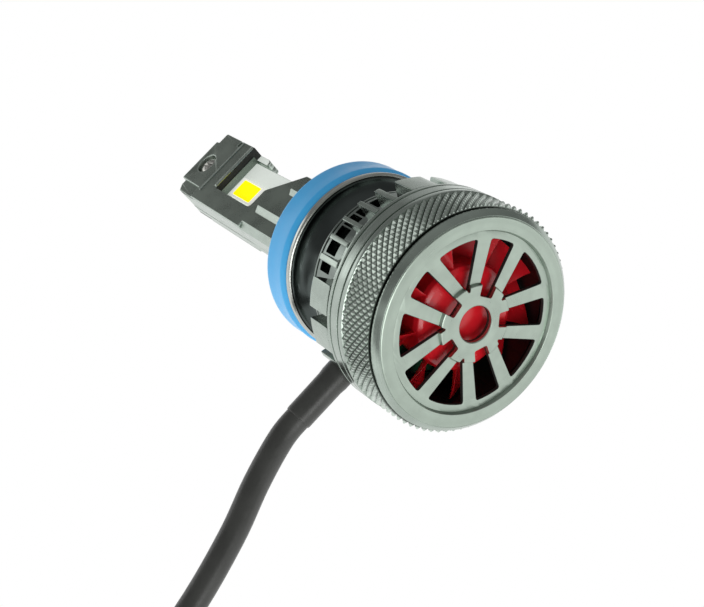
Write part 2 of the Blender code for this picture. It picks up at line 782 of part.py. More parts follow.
def blade_row(bm, radius, twist, angle):
    middle_x = 0.5 * (HUB_FRONT_X + HUB_BACK_X) - 0.1 * MM
    half_x = 2.1 * MM
    half_sweep = half_x * math.tan(math.pi / 2.0 - twist) / radius
    half_thick = 0.28 * MM
    row = []
    for sign_x, sign_t in ((-1, -1), (-1, 1), (1, 1), (1, -1)):
        sweep = angle + sign_x * half_sweep + sign_t * half_thick / radius / math.sin(twist)
        x = middle_x + sign_x * half_x
        row.append(bm.verts.new((x, radius * math.sin(sweep), radius * math.cos(sweep))))
    return row


def impeller():
    inner = 6.3 * MM
    profile = (
        (HUB_FRONT_X, inner),
        (HUB_FRONT_X, HUB_R),
        (HUB_BACK_X - 0.9 * MM, HUB_R),
        (HUB_BACK_X - 0.25 * MM, HUB_R - 0.5 * MM),
        (HUB_BACK_X, HUB_R - 1.3 * MM),
        (HUB_BACK_X, 0.0),
        (HUB_BACK_X - 0.9 * MM, 0.0),
        (HUB_BACK_X - 0.9 * MM, inner),
    )
    item = turned("impeller", profile, 48, ((0.55, 0.02, 0.03), 0.0, 0.35))
    bm = bmesh.new()
    for step in range(BLADE_COUNT):
        blade(bm, 360.0 / BLADE_COUNT * step)
    join(item, finish_mesh("tool", bm, None))


def ring_piece(name, inner, outer, front, back, segments, look):
    profile = ((front, inner), (front, outer), (back, outer), (back, inner))
    return turned(name, profile, segments, look)


def fan_insides():
    ring_piece("rotor_magnet", 5.1 * MM, 6.0 * MM, 23.1 * MM, 26.6 * MM, 40, ((0.05, 0.05, 0.05), 0.6, 0.5))
    ring_piece("bearing_bush", 0.9 * MM, 2.2 * MM, 22.6 * MM, 26.2 * MM, 32, ((0.6, 0.45, 0.2), 1.0, 0.3))
    ring_piece("fan_board", 2.5 * MM, 5.4 * MM, 22.6 * MM, 23.1 * MM - GAP, 32, ((0.02, 0.2, 0.08), 0.0, 0.4))
    profile = ((22.6 * MM, 0.0), (22.6 * MM, SHAFT_R), (26.7 * MM, SHAFT_R), (26.7 * MM, 0.0))
    turned("fan_shaft", profile, 20, ((0.7, 0.7, 0.7), 1.0, 0.15))
    stator_core()


def stator_core():
    look = ((0.45, 0.2, 0.08), 0.8, 0.4)
    item = ring_piece("stator_core", 2.5 * MM, 3.3 * MM, 23.4 * MM, 26.2 * MM, 32, look)
    for step in range(2):
        low = (23.7 * MM, -0.9 * MM, -4.7 * MM)
        high = (25.9 * MM, 0.9 * MM, 4.7 * MM)
        bar = block("tool", low, high, None)
        middle = turned("tool_b", ((20.0 * MM, 0.0), (20.0 * MM, 2.9 * MM), (28.0 * MM, 2.9 * MM), (28.0 * MM, 0.0)),
                        32, None)
        cut(bar, middle)
        turn_about_x(bar, 90.0 * step)
        join(item, bar)


# ---------------------------------------------------------------- driver

def driver():
    profile = ((19.6 * MM, 0.0), (19.6 * MM, 9.7 * MM), (20.6 * MM, 9.7 * MM), (20.6 * MM, 0.0))
    turned("driver_board", profile, 48, ((0.02, 0.16, 0.07), 0.0, 0.4))
    profile = ((16.5 * MM, 0.0), (16.5 * MM, 1.9 * MM), (19.3 * MM, 1.9 * MM), (19.3 * MM, 0.0))
    capacitor = turned("driver_capacitor", profile, 28, ((0.7, 0.7, 0.7), 1.0, 0.3))
    shift(capacitor, 0.0, -4.6 * MM, 4.4 * MM)
    block("driver_inductor", (16.9 * MM, 2.4 * MM, 2.6 * MM), (19.3 * MM, 6.6 * MM, 6.8 * MM),
          ((0.08, 0.08, 0.08), 0.2, 0.6))
    block("driver_chip", (17.9 * MM, -6.4 * MM, -3.2 * MM), (19.3 * MM, -2.0 * MM, 1.2 * MM),
          ((0.02, 0.02, 0.02), 0.0, 0.4))
    for name, height in (("led_lead_upper", 2.4 * MM), ("led_lead_lower", -2.4 * MM)):
        profile = ((CORE_BACK_X + GAP, 0.0), (CORE_BACK_X + GAP, 0.5 * MM), (19.3 * MM, 0.5 * MM), (19.3 * MM, 0.0))
        lead = turned(name, profile, 12, ((0.6, 0.05, 0.04), 0.0, 0.5))
        shift(lead, 0.0, 0.0, height)


# ---------------------------------------------------------------- cord and connector

def stand_down(item, centre_x, centre_y):
    """Turn a piece made about X so that x becomes z; heights are given as signed z values."""
    for vert in item.data.vertices:
        x, y, z = vert.co
        vert.co = Vector((y + centre_x, z + centre_y, x))
    bm = bmesh.new()
    bm.from_mesh(item.data)
    bmesh.ops.recalc_face_normals(bm, faces=bm.faces)
    bm.to_mesh(item.data)
    bm.free()


def strain_relief():
    profile = (
        (RELIEF_TOP_Z, 0.0),
        (RELIEF_TOP_Z, 1.95 * MM),
        (-15.0 * MM, 1.95 * MM),
        (RELIEF_END_Z, 1.8 * MM),
        (RELIEF_END_Z, 0.0),
    )
    item = turned("strain_relief", profile, 24, ((0.03, 0.033, 0.03), 0.0, 0.55))
    stand_down(item, RELIEF_X, 0.0)


def smooth_route(points, spacing):
    """Evenly spaced points on a smooth curve through the route points."""
    knots = [Vector(point) * MM for point in points]
    dense = []
    for index in range(len(knots) - 1):
        before = knots[max(index - 1, 0)]
        start, end = knots[index], knots[index + 1]
        after = knots[min(index + 2, len(knots) - 1)]
        for step in range(20):
            dense.append(blend(before, start, end, after, step / 20.0))
    dense.append(knots[-1])
    return resample(dense, spacing)


def blend(before, start, end, after, share):
    out_slope = (end - before) * 0.5
    in_slope = (after - start) * 0.5
    square, cube = share ** 2, share ** 3
    return (start * (2 * cube - 3 * square + 1) + out_slope * (cube - 2 * square + share)
            + end * (3 * square - 2 * cube) + in_slope * (cube - square))


def resample(dense, spacing):
    lengths = [0.0]
    for first, second in zip(dense, dense[1:]):
        lengths.append(lengths[-1] + (second - first).length)
    count = max(2, round(lengths[-1] / spacing))
    result = []
    place = 0
    for step in range(count + 1):
        target = lengths[-1] * step / count
        while place < len(lengths) - 2 and lengths[place + 1] < target:
            place += 1
        share = (target - lengths[place]) / (lengths[place + 1] - lengths[place])
        result.append(dense[place].lerp(dense[place + 1], share))
    return result


def cord():
    path = smooth_route(CORD_ROUTE, 5.0 * MM)
    curve = bpy.data.curves.new("cord", "CURVE")
    curve.dimensions = "3D"
    curve.bevel_depth = CORD_R
    curve.bevel_resolution = 2
    curve.use_fill_caps = True
    spline = curve.splines.new("POLY")
    spline.points.add(len(path) - 1)
    for point, place in zip(spline.points, path):
        point.co = (*place, 1.0)
    tube = bpy.data.objects.new("tube", curve)
    bpy.context.scene.collection.objects.link(tube)
    graph = bpy.context.evaluated_depsgraph_get()
    mesh = bpy.data.meshes.new_from_object(tube.evaluated_get(graph))
    bpy.data.objects.remove(tube, do_unlink=True)
    bm = bmesh.new()
    bm.from_mesh(mesh)
    finish_mesh("cord", bm, ((0.03, 0.033, 0.03), 0.0, 0.5))


def connector():
    boot = turned("connector_boot", (
        (BOOT_TOP_Z, 0.0),
        (BOOT_TOP_Z, 2.2 * MM),
        (BOOT_END_Z + 3.0 * MM, 3.4 * MM),
        (BOOT_END_Z, 3.4 * MM),
        (BOOT_END_Z, 0.0),
    ), 28, ((0.03, 0.03, 0.03), 0.0, 0.6))
    stand_down(boot, CONNECTOR_X, CONNECTOR_Y)
    half_x, half_y = 0.5 * HOUSING_LENGTH_X, 0.5 * HOUSING_WIDTH_Y
    low = (CONNECTOR_X - half_x, CONNECTOR_Y - half_y, HOUSING_END_Z)
    high = (CONNECTOR_X + half_x, CONNECTOR_Y + half_y, HOUSING_TOP_Z)
    item = block("connector_housing", low, high, ((0.02, 0.02, 0.022), 0.0, 0.45))
    shoulder_cuts(item, half_x, half_y)
    low = (CONNECTOR_X - half_x + SHELL, CONNECTOR_Y - half_y + SHELL, HOUSING_END_Z - 1.0 * MM)
    high = (CONNECTOR_X + half_x - SHELL, CONNECTOR_Y + half_y - SHELL, HOUSING_END_Z + SOCKET_DEPTH)
    cut(item, block("tool", low, high, None))
    latch(item, half_y)
    for name, side in (("blade_left", -1.0), ("blade_right", 1.0)):
        blade_hole(item, side)
        terminal(name, side)


def shoulder_cuts(item, half_x, half_y):
    """Narrow the cable end of the housing."""
    for side in (-1.0, 1.0):
        inner = CONNECTOR_X + side * (half_x - 3.0 * MM)
        outer = CONNECTOR_X + side * (half_x + 2.0 * MM)
        low = (min(inner, outer), CONNECTOR_Y - 12.0 * MM, HOUSING_TOP_Z - 6.0 * MM)
        high = (max(inner, outer), CONNECTOR_Y + 12.0 * MM, HOUSING_TOP_Z + 1.0 * MM)
        cut(item, block("tool", low, high, None))


def latch(item, half_y):
    """Locking ramp on the near side of the shroud."""
    low_z, high_z = HOUSING_END_Z + 4.0 * MM, HOUSING_END_Z + 9.0 * MM
    face, top = CONNECTOR_Y - half_y + 0.4 * MM, CONNECTOR_Y - half_y - 1.5 * MM
    left, right = CONNECTOR_X - 2.5 * MM, CONNECTOR_X + 2.5 * MM
    tool = wedge("tool", (
        (left, face, low_z), (left, face, high_z), (left, top, high_z), (left, face - 0.5 * MM, low_z),
        (right, face, low_z), (right, face, high_z), (right, top, high_z), (right, face - 0.5 * MM, low_z),
    ), None)
    join(item, tool)


def blade_hole(item, side):
    centre = CONNECTOR_X + side * 3.5 * MM
    low = (centre - 1.4 * MM - GAP, CONNECTOR_Y - 0.4 * MM - GAP, HOUSING_END_Z + SOCKET_DEPTH - 1.0 * MM)
    high = (centre + 1.4 * MM + GAP, CONNECTOR_Y + 0.4 * MM + GAP, HOUSING_END_Z + SOCKET_DEPTH + 5.0 * MM)
    cut(item, block("tool", low, high, None))


def terminal(name, side):
    centre = CONNECTOR_X + side * 3.5 * MM
    low = (centre - 1.4 * MM, CONNECTOR_Y - 0.4 * MM, HOUSING_END_Z + 4.0 * MM)
    high = (centre + 1.4 * MM, CONNECTOR_Y + 0.4 * MM, HOUSING_END_Z + SOCKET_DEPTH + 4.7 * MM)
    block(name, low, high, ((0.75, 0.72, 0.66), 1.0, 0.25))


def build():
    clear_scene()
    core_board()
    cover_half("cover_plate_near", False)
    cover_half("cover_plate_far", True)
    for side, far in (("near", False), ("far", True)):
        light_source(side, far)
        guide_key("guide_key_low_" + side, -2.9 * MM, -19.6 * MM, far)
        guide_key("guide_key_high_" + side, 1.8 * MM, -16.4 * MM, far)
    tip_screw()
    tip_nut()
    collar_body()
    collar_seal()
    collar_set_screw()
    neck_ring()
    cooler_body()
    knurl_sleeve()
    wheel_cover()
    fan_frame()
    impeller()
    fan_insides()
    driver()
    strain_relief()
    cord()
    connector()


build()
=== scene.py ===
"""LED headlight bulb: the finished look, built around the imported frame.

Everything is in the part's own frame: X along the bulb towards the fan, Z up, lamp faces at -Y and +Y.
"""

import math
from math import cos, pi, radians, sin

import bmesh
import bpy
from mathutils import Matrix, Vector
from mathutils.geometry import tessellate_polygon


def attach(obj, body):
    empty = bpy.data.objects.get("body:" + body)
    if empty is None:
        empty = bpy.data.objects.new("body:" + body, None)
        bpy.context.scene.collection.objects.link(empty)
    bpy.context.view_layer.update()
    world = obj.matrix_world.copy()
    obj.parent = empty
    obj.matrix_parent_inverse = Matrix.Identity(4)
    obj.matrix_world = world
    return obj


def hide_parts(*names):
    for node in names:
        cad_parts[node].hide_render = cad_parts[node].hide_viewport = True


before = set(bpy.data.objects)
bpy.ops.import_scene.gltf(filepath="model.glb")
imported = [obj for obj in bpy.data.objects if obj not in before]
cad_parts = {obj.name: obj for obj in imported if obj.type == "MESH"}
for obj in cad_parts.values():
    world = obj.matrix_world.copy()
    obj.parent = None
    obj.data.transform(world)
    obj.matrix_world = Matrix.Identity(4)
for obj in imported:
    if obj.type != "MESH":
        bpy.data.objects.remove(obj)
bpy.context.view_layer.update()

MM = 0.001
LAMP, COLLAR, ROTOR = "lamp", "collar", "fan_rotor"

# ---- camera

CAMERA_PLACE = (0.13974, -0.09682, -0.02797)
CAMERA_RIGHT = (0.510217, 0.534343, 0.673911)
CAMERA_UP = (-0.326013, -0.604936, 0.726476)
SENSOR_MM = 36.0
LENS_MM = 64.38


def add_object(name, data):
    thing = bpy.data.objects.new(name, data)
    bpy.context.scene.collection.objects.link(thing)
    return thing


def make_camera():
    data = bpy.data.cameras.new("camera")
    data.sensor_width = SENSOR_MM
    data.lens = LENS_MM
    data.clip_start = 0.01
    data.clip_end = 20.0
    camera = add_object("camera", data)
    right = Vector(CAMERA_RIGHT).normalized()
    up = Vector(CAMERA_UP)
    up = (up - right * up.dot(right)).normalized()
    back = right.cross(up)
    turn = Matrix((right, up, back)).transposed().to_4x4()
    camera.matrix_world = Matrix.Translation(CAMERA_PLACE) @ turn
    bpy.context.scene.camera = camera


# ---- materials

class Nodes:
    """A short way to write a node tree: each call adds one node and returns its output."""

    def __init__(self, name, owners=None, space="Object"):
        self.owner = (bpy.data.materials if owners is None else owners).new(name)
        self.owner.use_nodes = True
        self.tree = self.owner.node_tree
        self.coords = self.tree.nodes.new("ShaderNodeTexCoord").outputs[space]

    def add(self, kind, output=0, inputs=None, **settings):
        node = self.tree.nodes.new(kind)
        for key, value in settings.items():
            setattr(node, key, value)
        for key, value in (inputs or {}).items():
            self.put(node.inputs[key], value)
        return node.outputs[output]

    def put(self, socket, value):
        if isinstance(value, bpy.types.NodeSocket):
            self.tree.links.new(value, socket)
        elif isinstance(value, tuple) and len(value) == 3 and socket.type == "RGBA":
            socket.default_value = (*value, 1.0)
        else:
            socket.default_value = value

    def noise(self, scale, detail=3.0, stretch=(1.0, 1.0, 1.0), vector=None, rough=0.5):
        if vector is None:
            vector = self.add("ShaderNodeMapping", inputs={"Vector": self.coords, "Scale": stretch})
        inputs = {"Vector": vector, "Scale": scale, "Detail": detail, "Roughness": rough}
        return self.add("ShaderNodeTexNoise", "Fac", inputs)

    def remap(self, value, low, high, to_low, to_high):
        inputs = {"Value": value, "From Min": low, "From Max": high, "To Min": to_low, "To Max": to_high}
        return self.add("ShaderNodeMapRange", 0, inputs)

    def math(self, operation, first, second=0.0):
        return self.add("ShaderNodeMath", 0, {0: first, 1: second}, operation=operation)

    def mix(self, factor, first, second):
        return self.add("ShaderNodeMix", 2, {0: factor, 6: first, 7: second}, data_type="RGBA")

    def patchy(self, cloud, colour, tone):
        """The colour, darkened in soft patches."""
        return self.mix(self.remap(cloud, 0.35, 0.7, 0.0, 1.0), darker(colour, tone), colour)

    def bump(self, height, strength, distance, normal=None):
        inputs = {"Height": height, "Strength": strength, "Distance": distance}
        if normal is not None:
            inputs["Normal"] = normal
        return self.add("ShaderNodeBump", 0, inputs)

    def facing(self, direction):
        """How far the coordinates point in a direction, from -1 to 1."""
        inputs = {0: self.coords, 1: Vector(direction).normalized()}
        return self.add("ShaderNodeVectorMath", "Value", inputs, operation="DOT_PRODUCT")

    def radial(self):
        """Coordinates that are the same all round the X axis: (along X, distance from X, 0)."""
        parts = self.tree.nodes.new("ShaderNodeSeparateXYZ")
        self.put(parts.inputs[0], self.coords)
        y_z = self.add("ShaderNodeCombineXYZ", 0, {"Y": parts.outputs[1], "Z": parts.outputs[2]})
        length = self.add("ShaderNodeVectorMath", 1, {0: y_z}, operation="LENGTH")
        return self.add("ShaderNodeCombineXYZ", 0, {"X": parts.outputs[0], "Y": length})


def shade(n, base, metallic, rough, normal=None, extra=None):
    inputs = {"Base Color": base, "Metallic": metallic, "Roughness": rough}
    if normal is not None:
        inputs["Normal"] = normal
    inputs.update(extra or {})
    for key, value in inputs.items():
        n.put(n.tree.nodes["Principled BSDF"].inputs[key], value)
    return n.owner


def darker(colour, share):
    return tuple(channel * share for channel in colour)


def turned_metal(name, colour, rough, ring_strength=0.12, tone=0.86):
    """Lathe-turned metal: fine rings round X, cloudy gloss and slight tone changes."""
    n = Nodes(name)
    rings = n.noise(5200.0, 2.0, vector=n.radial(), rough=0.6)
    broad = n.noise(900.0, 2.0, vector=n.radial())
    cloud = n.noise(420.0, 4.0)
    specks = n.noise(2600.0, 2.0)
    base = n.patchy(cloud, colour, tone)
    base = n.mix(n.remap(broad, 0.4, 0.65, 0.0, 0.35), base, darker(colour, tone * 0.9))
    gloss = n.remap(n.math("ADD", rings, cloud), 0.7, 1.35, rough * 0.75, rough * 1.35)
    normal = n.bump(rings, ring_strength, 0.00002)
    normal = n.bump(specks, 0.05, 0.00002, normal)
    return shade(n, base, 1.0, gloss, normal)


def brushed_metal(name, colour, rough, stretch, tone=0.84):
    """Metal finished along one direction, with faint scratches."""
    n = Nodes(name)
    lines = n.noise(2400.0, 3.0, stretch)
    cloud = n.noise(500.0, 4.0)
    base = n.patchy(cloud, colour, tone)
    gloss = n.remap(n.math("ADD", lines, cloud), 0.7, 1.35, rough * 0.7, rough * 1.35)
    return shade(n, base, 1.0, gloss, n.bump(lines, 0.1, 0.00002))


def coated_metal(name, colour, rough):
    """Dark anodised face: fine even grain and a soft sheen."""
    n = Nodes(name)
    grain = n.noise(5200.0, 2.0)
    cloud = n.noise(260.0, 4.0)
    base = n.patchy(cloud, colour, 0.8)
    gloss = n.remap(n.math("ADD", grain, cloud), 0.7, 1.4, rough * 0.8, rough * 1.3)
    return shade(n, base, 0.85, gloss, n.bump(grain, 0.12, 0.00002))


def moulded(name, colour, rough, grain_scale=3800.0, grain=0.15, coat=0.0, tone=0.8, extra=None):
    """Moulded plastic or rubber: fine grain, uneven gloss, slight tone changes."""
    n = Nodes(name)
    fine = n.noise(grain_scale, 3.0)
    cloud = n.noise(330.0, 4.0)
    base = n.patchy(cloud, colour, tone)
    gloss = n.remap(n.math("ADD", fine, cloud), 0.7, 1.35, rough * 0.8, rough * 1.25)
    values = {"Coat Weight": coat, "Coat Roughness": 0.15}
    values.update(extra or {})
    return shade(n, base, 0.0, gloss, n.bump(fine, grain, 0.00003), values)


def phosphor_painted_glow_look(name):
    n = Nodes(name)
    grain = n.noise(6000.0, 3.0)
    base = n.mix(n.remap(grain, 0.35, 0.65, 0.0, 1.0), (1.0, 0.80, 0.0), (1.0, 0.93, 0.01))
    # The emission is a painted glow that brightens the phosphor's yellow; the LED gives no light of its own
    # here.
    values = {"Emission Color": (1.0, 0.90, 0.0), "Emission Strength": 0.8, "Specular IOR Level": 0.1}
    return shade(n, base, 0.0, 0.6, n.bump(grain, 0.1, 0.00002), values)


def board_look(name, colour):
    """Printed board: faint traces under the lacquer."""
    n = Nodes(name)
    traces = n.add("ShaderNodeTexVoronoi", "Distance", {"Vector": n.coords, "Scale": 900.0},
                   feature="F1", distance="CHEBYCHEV")
    base = n.mix(n.remap(traces, 0.25, 0.32, 0.0, 1.0), darker(colour, 1.6), colour)
    return shade(n, base, 0.0, 0.35, n.bump(traces, 0.2, 0.00003))


def knurl_painted_shade_look(name, colour, root, crest):
    """Knurled metal: painted shade darkens the bottom of the grooves, and the crests keep the full colour."""
    n = Nodes(name)
    away = n.add("ShaderNodeSeparateXYZ", 1, {0: n.radial()})
    depth = n.remap(away, root * MM, crest * MM, 0.0, 1.0)
    cloud = n.noise(500.0, 3.0)
    # Painted shade: the colour darkens towards the groove bottoms.
    base = n.mix(depth, darker(colour, 0.2), colour)
    gloss = n.remap(cloud, 0.3, 0.7, 0.17, 0.27)
    return shade(n, base, 1.0, gloss, n.bump(cloud, 0.05, 0.00002))


RECIPES = {
    "gunmetal": (coated_metal, (0.25, 0.295, 0.255), 0.30),
    # Near-black look that paints shade on walls that sit in shade: the light opening's walls and the wheel's
    # window walls.
    "dark_wall": (moulded, (0.028, 0.031, 0.028), 0.62),
    # The board's emission is a painted glow: it lightens the white board where it sits in shade.
    "board_white": (moulded, (0.76, 0.81, 0.76), 0.5, 3800.0, 0.15, 0.0, 0.96,
                    {"Emission Color": (0.93, 1.0, 0.93), "Emission Strength": 0.42}),
    "knurl_teeth": (knurl_painted_shade_look, (0.54, 0.615, 0.555), 14.04, 14.24),
    "bare_edge": (brushed_metal, (0.50, 0.57, 0.515), 0.30, (0.15, 1.0, 1.0)),
    "dark_metal": (turned_metal, (0.085, 0.10, 0.096), 0.2),
    "rim_metal": (turned_metal, (0.60, 0.62, 0.58), 0.22),
    "light_metal": (turned_metal, (0.44, 0.51, 0.455), 0.27),
    "fin_metal": (brushed_metal, (0.44, 0.505, 0.455), 0.24, (0.2, 1.0, 1.0)),
    "shroud_metal": (brushed_metal, (0.27, 0.31, 0.285), 0.2, (0.2, 1.0, 1.0)),
    "knurl_metal": (turned_metal, (0.44, 0.505, 0.455), 0.22),
    "band_metal": (turned_metal, (0.42, 0.49, 0.435), 0.22),
    "face_metal": (turned_metal, (0.445, 0.525, 0.455), 0.34, 0.05),
    "steel": (turned_metal, (0.60, 0.60, 0.56), 0.22),
    "copper": (brushed_metal, (0.70, 0.40, 0.24), 0.3, (0.2, 1.0, 1.0)),
    "bronze": (turned_metal, (0.55, 0.40, 0.18), 0.3),
    # The LED frame's emission is a painted glow: it lightens the white frame where it sits in shade.
    "led_white": (moulded, (0.80, 0.82, 0.76), 0.4, 3800.0, 0.15, 0.0, 0.93,
                  {"Emission Color": (1.0, 1.0, 0.94), "Emission Strength": 0.5}),
    "phosphor": (phosphor_painted_glow_look,),
    # The seal's emission is a painted glow: it lightens the blue where the seal sits in shade.
    "blue_silicone": (moulded, (0.06, 0.50, 0.96), 0.38, 2600.0, 0.08, 0.0, 0.92,
                      {"Sheen Weight": 0.25, "Emission Color": (0.06, 0.42, 0.9), "Emission Strength": 0.14}),
    "black_rubber": (moulded, (0.017, 0.018, 0.017), 0.55),
    "cable_jacket": (moulded, (0.060, 0.062, 0.057), 0.36, 2200.0, 0.1),
    "black_plastic": (moulded, (0.010, 0.010, 0.011), 0.42, 4200.0, 0.25),
    "housing_plastic": (moulded, (0.017, 0.018, 0.018), 0.45, 4200.0, 0.3),
    "red_plastic": (moulded, (0.90, 0.014, 0.026), 0.24, 900.0, 0.03, 0.3),
    "circuit_board": (board_look, (0.015, 0.11, 0.05)),
    "magnet": (moulded, (0.05, 0.05, 0.052), 0.5),
}


# ---- mesh helpers

def place(name, bm, look, body, stands_for=(), angle=35.0, even_shading=True):
    """Put a finished shape in the scene, smooth it, and tie it to its body."""
    mesh = to_mesh(name, bm)
    piece = add_object(name, mesh)
    for item in look if isinstance(look, list) else [look]:
        mesh.materials.append(LOOKS[item])
    mesh.shade_smooth()
    mesh.set_sharp_from_angle(angle=radians(angle))
    if even_shading:
        even = piece.modifiers.new("even_shading", "WEIGHTED_NORMAL")
        even.keep_sharp = True
        even.weight = 60
    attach(piece, body)
    if stands_for:
        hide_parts(*stands_for)
    return piece


def to_mesh(name, bm):
    bmesh.ops.remove_doubles(bm, verts=bm.verts, dist=1e-7)
    bmesh.ops.recalc_face_normals(bm, faces=bm.faces)
    mesh = bpy.data.meshes.new(name)
    bm.to_mesh(mesh)
    bm.free()
    return mesh


def fillet(points, radii, steps=3):
    """Round the corners of a closed outline; radii is one number or one per corner (mm)."""
    count = len(points)
    result = []
    for index in range(count):
        radius = radii[index] if isinstance(radii, (list, tuple)) else radii
        corner = Vector(points[index])
        before, after = Vector(points[index - 1]) - corner, Vector(points[(index + 1) % count]) - corner
        angle = before.angle(after, pi)
        if radius <= 1e-6 or angle > radians(172.0) or angle < 1e-3:
            result.append(tuple(corner))
            continue
        reach = min(radius / math.tan(angle / 2.0), 0.45 * before.length, 0.45 * after.length)
        start, end = corner + before.normalized() * reach, corner + after.normalized() * reach
        for step in range(steps + 1):
            share = step / steps
            point = start * (1 - share) ** 2 + corner * 2 * share * (1 - share) + end * share ** 2
            result.append(tuple(point))
    return result


def signed_area(loop):
    return 0.5 * sum(loop[i - 1][0] * loop[i][1] - loop[i][0] * loop[i - 1][1] for i in range(len(loop)))


def inset(loop, distance):
    """Move a counter-clockwise loop inwards (a clockwise hole moves outwards)."""
    result = []
    count = len(loop)
    for index in range(count):
        point = Vector(loop[index])
        first = (point - Vector(loop[index - 1]))
        second = (Vector(loop[(index + 1) % count]) - point)
        first = first.normalized() if first.length > 1e-9 else second.normalized()
        second = second.normalized() if second.length > 1e-9 else first
        normal_a, normal_b = Vector((-first.y, first.x)), Vector((-second.y, second.x))
        middle = normal_a + normal_b
        middle = middle.normalized() if middle.length > 1e-6 else normal_a
        stretch = min(1.0 / max(middle.dot(normal_a), 0.35), 2.5)
        result.append(tuple(point + middle * distance * stretch))
    return result


def band(bm, first, second, material=0):
    """Faces between two rings that have as many points."""
    faces = []
    for index in range(len(first)):
        after = (index + 1) % len(first)
        faces.append(bm.faces.new((first[index], first[after], second[after], second[index])))
        faces[-1].material_index = material
    return faces


def slab(bm, loops, low, high, edge, placer, steps=2, face_look=0, side_look=0):
    """Flat plate with holes and rounded edges; loops in mm, the first is the outside."""
    shaped = []
    for index, loop in enumerate(loops):
        area = signed_area(loop)
        wanted = area > 0 if index == 0 else area < 0
        shaped.append(list(loop) if wanted else list(reversed(loop)))
    turns = [pi / 2.0 * step / steps for step in range(steps + 1)]
    round_edge = [(edge * (1.0 - sin(turn)), edge * (1.0 - cos(turn))) for turn in turns]
    levels = [(low + lift, inward) for lift, inward in reversed(round_edge)]
    levels += [(high - lift, inward) for lift, inward in round_edge]
    caps = {}
    for loop in shaped:
        rings = []
        for height, distance in levels:
            outline = inset(loop, distance)
            rings.append([bm.verts.new(placer(a, b, height)) for a, b in outline])
        for lower, upper in zip(rings, rings[1:]):
            band(bm, lower, upper, side_look)
        caps.setdefault("low", []).append((rings[0], inset(loop, levels[0][1])))
        caps.setdefault("high", []).append((rings[-1], inset(loop, levels[-1][1])))
    for side in ("low", "high"):
        verts = [vert for ring, _ in caps[side] for vert in ring]
        flat = [[Vector((a, b, 0.0)) for a, b in outline] for _, outline in caps[side]]
        for triangle in tessellate_polygon(flat):
            corners = [verts[i] for i in triangle]
            if len(set(corners)) == 3:
                face = bm.faces.new(corners)
                face.material_index = face_look


def along_x(a, b, height):
    """A plate across the axis: a is Y, b is Z, height is X."""
    return Vector((height * MM, a * MM, b * MM))


def near_face(a, b, height):
    """A plate on the near lamp face: a is X, b is Z, height is the distance from the middle plane."""
    return Vector((a * MM, -height * MM, b * MM))


def far_face(a, b, height):
    """A plate on the far lamp face, or any other across Y: a is X, b is Z, height is Y."""
    return Vector((a * MM, height * MM, b * MM))


def hanging(a, b, height):
    """A plate across the hanging plug: a is X, b is Y, height is Z."""
    return Vector((a * MM, b * MM, height * MM))


def ring_point(x, radius, angle):
    """A point in metres from mm: radius away from the X axis, turned from Z towards Y."""
    reach = radius * MM
    return Vector((x * MM, reach * sin(angle), reach * cos(angle)))


def swing(out, across, angle):
    """(Y, Z) of a point so far out in a direction turned from Z towards Y, and so far across it."""
    return (out * sin(angle) + across * cos(angle), out * cos(angle) - across * sin(angle))


def lathe(bm, profile, segments=128, material=0):
    """Turn a closed (x, radius) outline in mm about X."""
    rings = []
    for x, radius in profile:
        if radius < 1e-6:
            vert = bm.verts.new((x * MM, 0.0, 0.0))
            rings.append([vert] * segments)
            continue
        ring = []
        for step in range(segments):
            angle = 2.0 * pi * step / segments
            ring.append(bm.verts.new(ring_point(x, radius, angle)))
        rings.append(ring)
    count = len(rings)
    for index in range(count):
        first, second = rings[index], rings[(index + 1) % count]
        if first[0] is first[1] and second[0] is second[1]:
            continue
        for step in range(segments):
            after = (step + 1) % segments
            corners = []
            for vert in (first[step], first[after], second[after], second[step]):
                if vert not in corners:
                    corners.append(vert)
            face = bm.faces.new(corners)
            face.material_index = material


def circle(radius, count=96, centre=(0.0, 0.0)):
    return [(centre[0] + radius * sin(2 * pi * i / count),
             centre[1] + radius * cos(2 * pi * i / count)) for i in range(count)]


def rectangle(a0, b0, a1, b1, radius=0.0, steps=4):
    return fillet([(a0, b0), (a1, b0), (a1, b1), (a0, b1)], radius, steps)


# ---- stem

TIP_X = -44.0
STEM_HALF = 6.1
STEM_TOP = 3.1
POCKET_FRONT = -33.3
POCKET_BACK = -22.0
POCKET_LOW = -2.7
WEDGE_BACK = -15.9
LED_X = -28.1
LED_Z = -0.3
BOARD_TOP = 0.95
SCREW_X = -41.3


RAIL_TOP = 1.3

# The cover's edge from its low side round the back and the light opening, as (X, Z) and corner radii.
OPENING_EDGE = [
    (-20.6, -STEM_HALF), (-20.6, -5.1), (-2.2, -5.1), (-2.2, 5.8), (WEDGE_BACK, 5.8),
    (POCKET_BACK, 0.8), (POCKET_BACK, -2.7), (POCKET_FRONT, -2.7), (POCKET_FRONT, STEM_HALF),
]
OPENING_RADII = [0.25, 0.15, 0, 0, 0.3, 0.7, 0.8, 0.4, 0.2]


def cover_outline():
    """Outline of the raised part of a cover, going round the light opening."""
    tip = [(-43.2, STEM_HALF), (-43.2, 4.1), (TIP_X, 4.1), (TIP_X, -4.1), (-43.2, -4.1), (-43.2, -5.0)]
    points = [(-42.3, -STEM_HALF)] + OPENING_EDGE + tip
    return fillet(points, [0.8] + OPENING_RADII + [0.3, 0.15, 0.35, 0.35, 0.15, 0.5], 3)


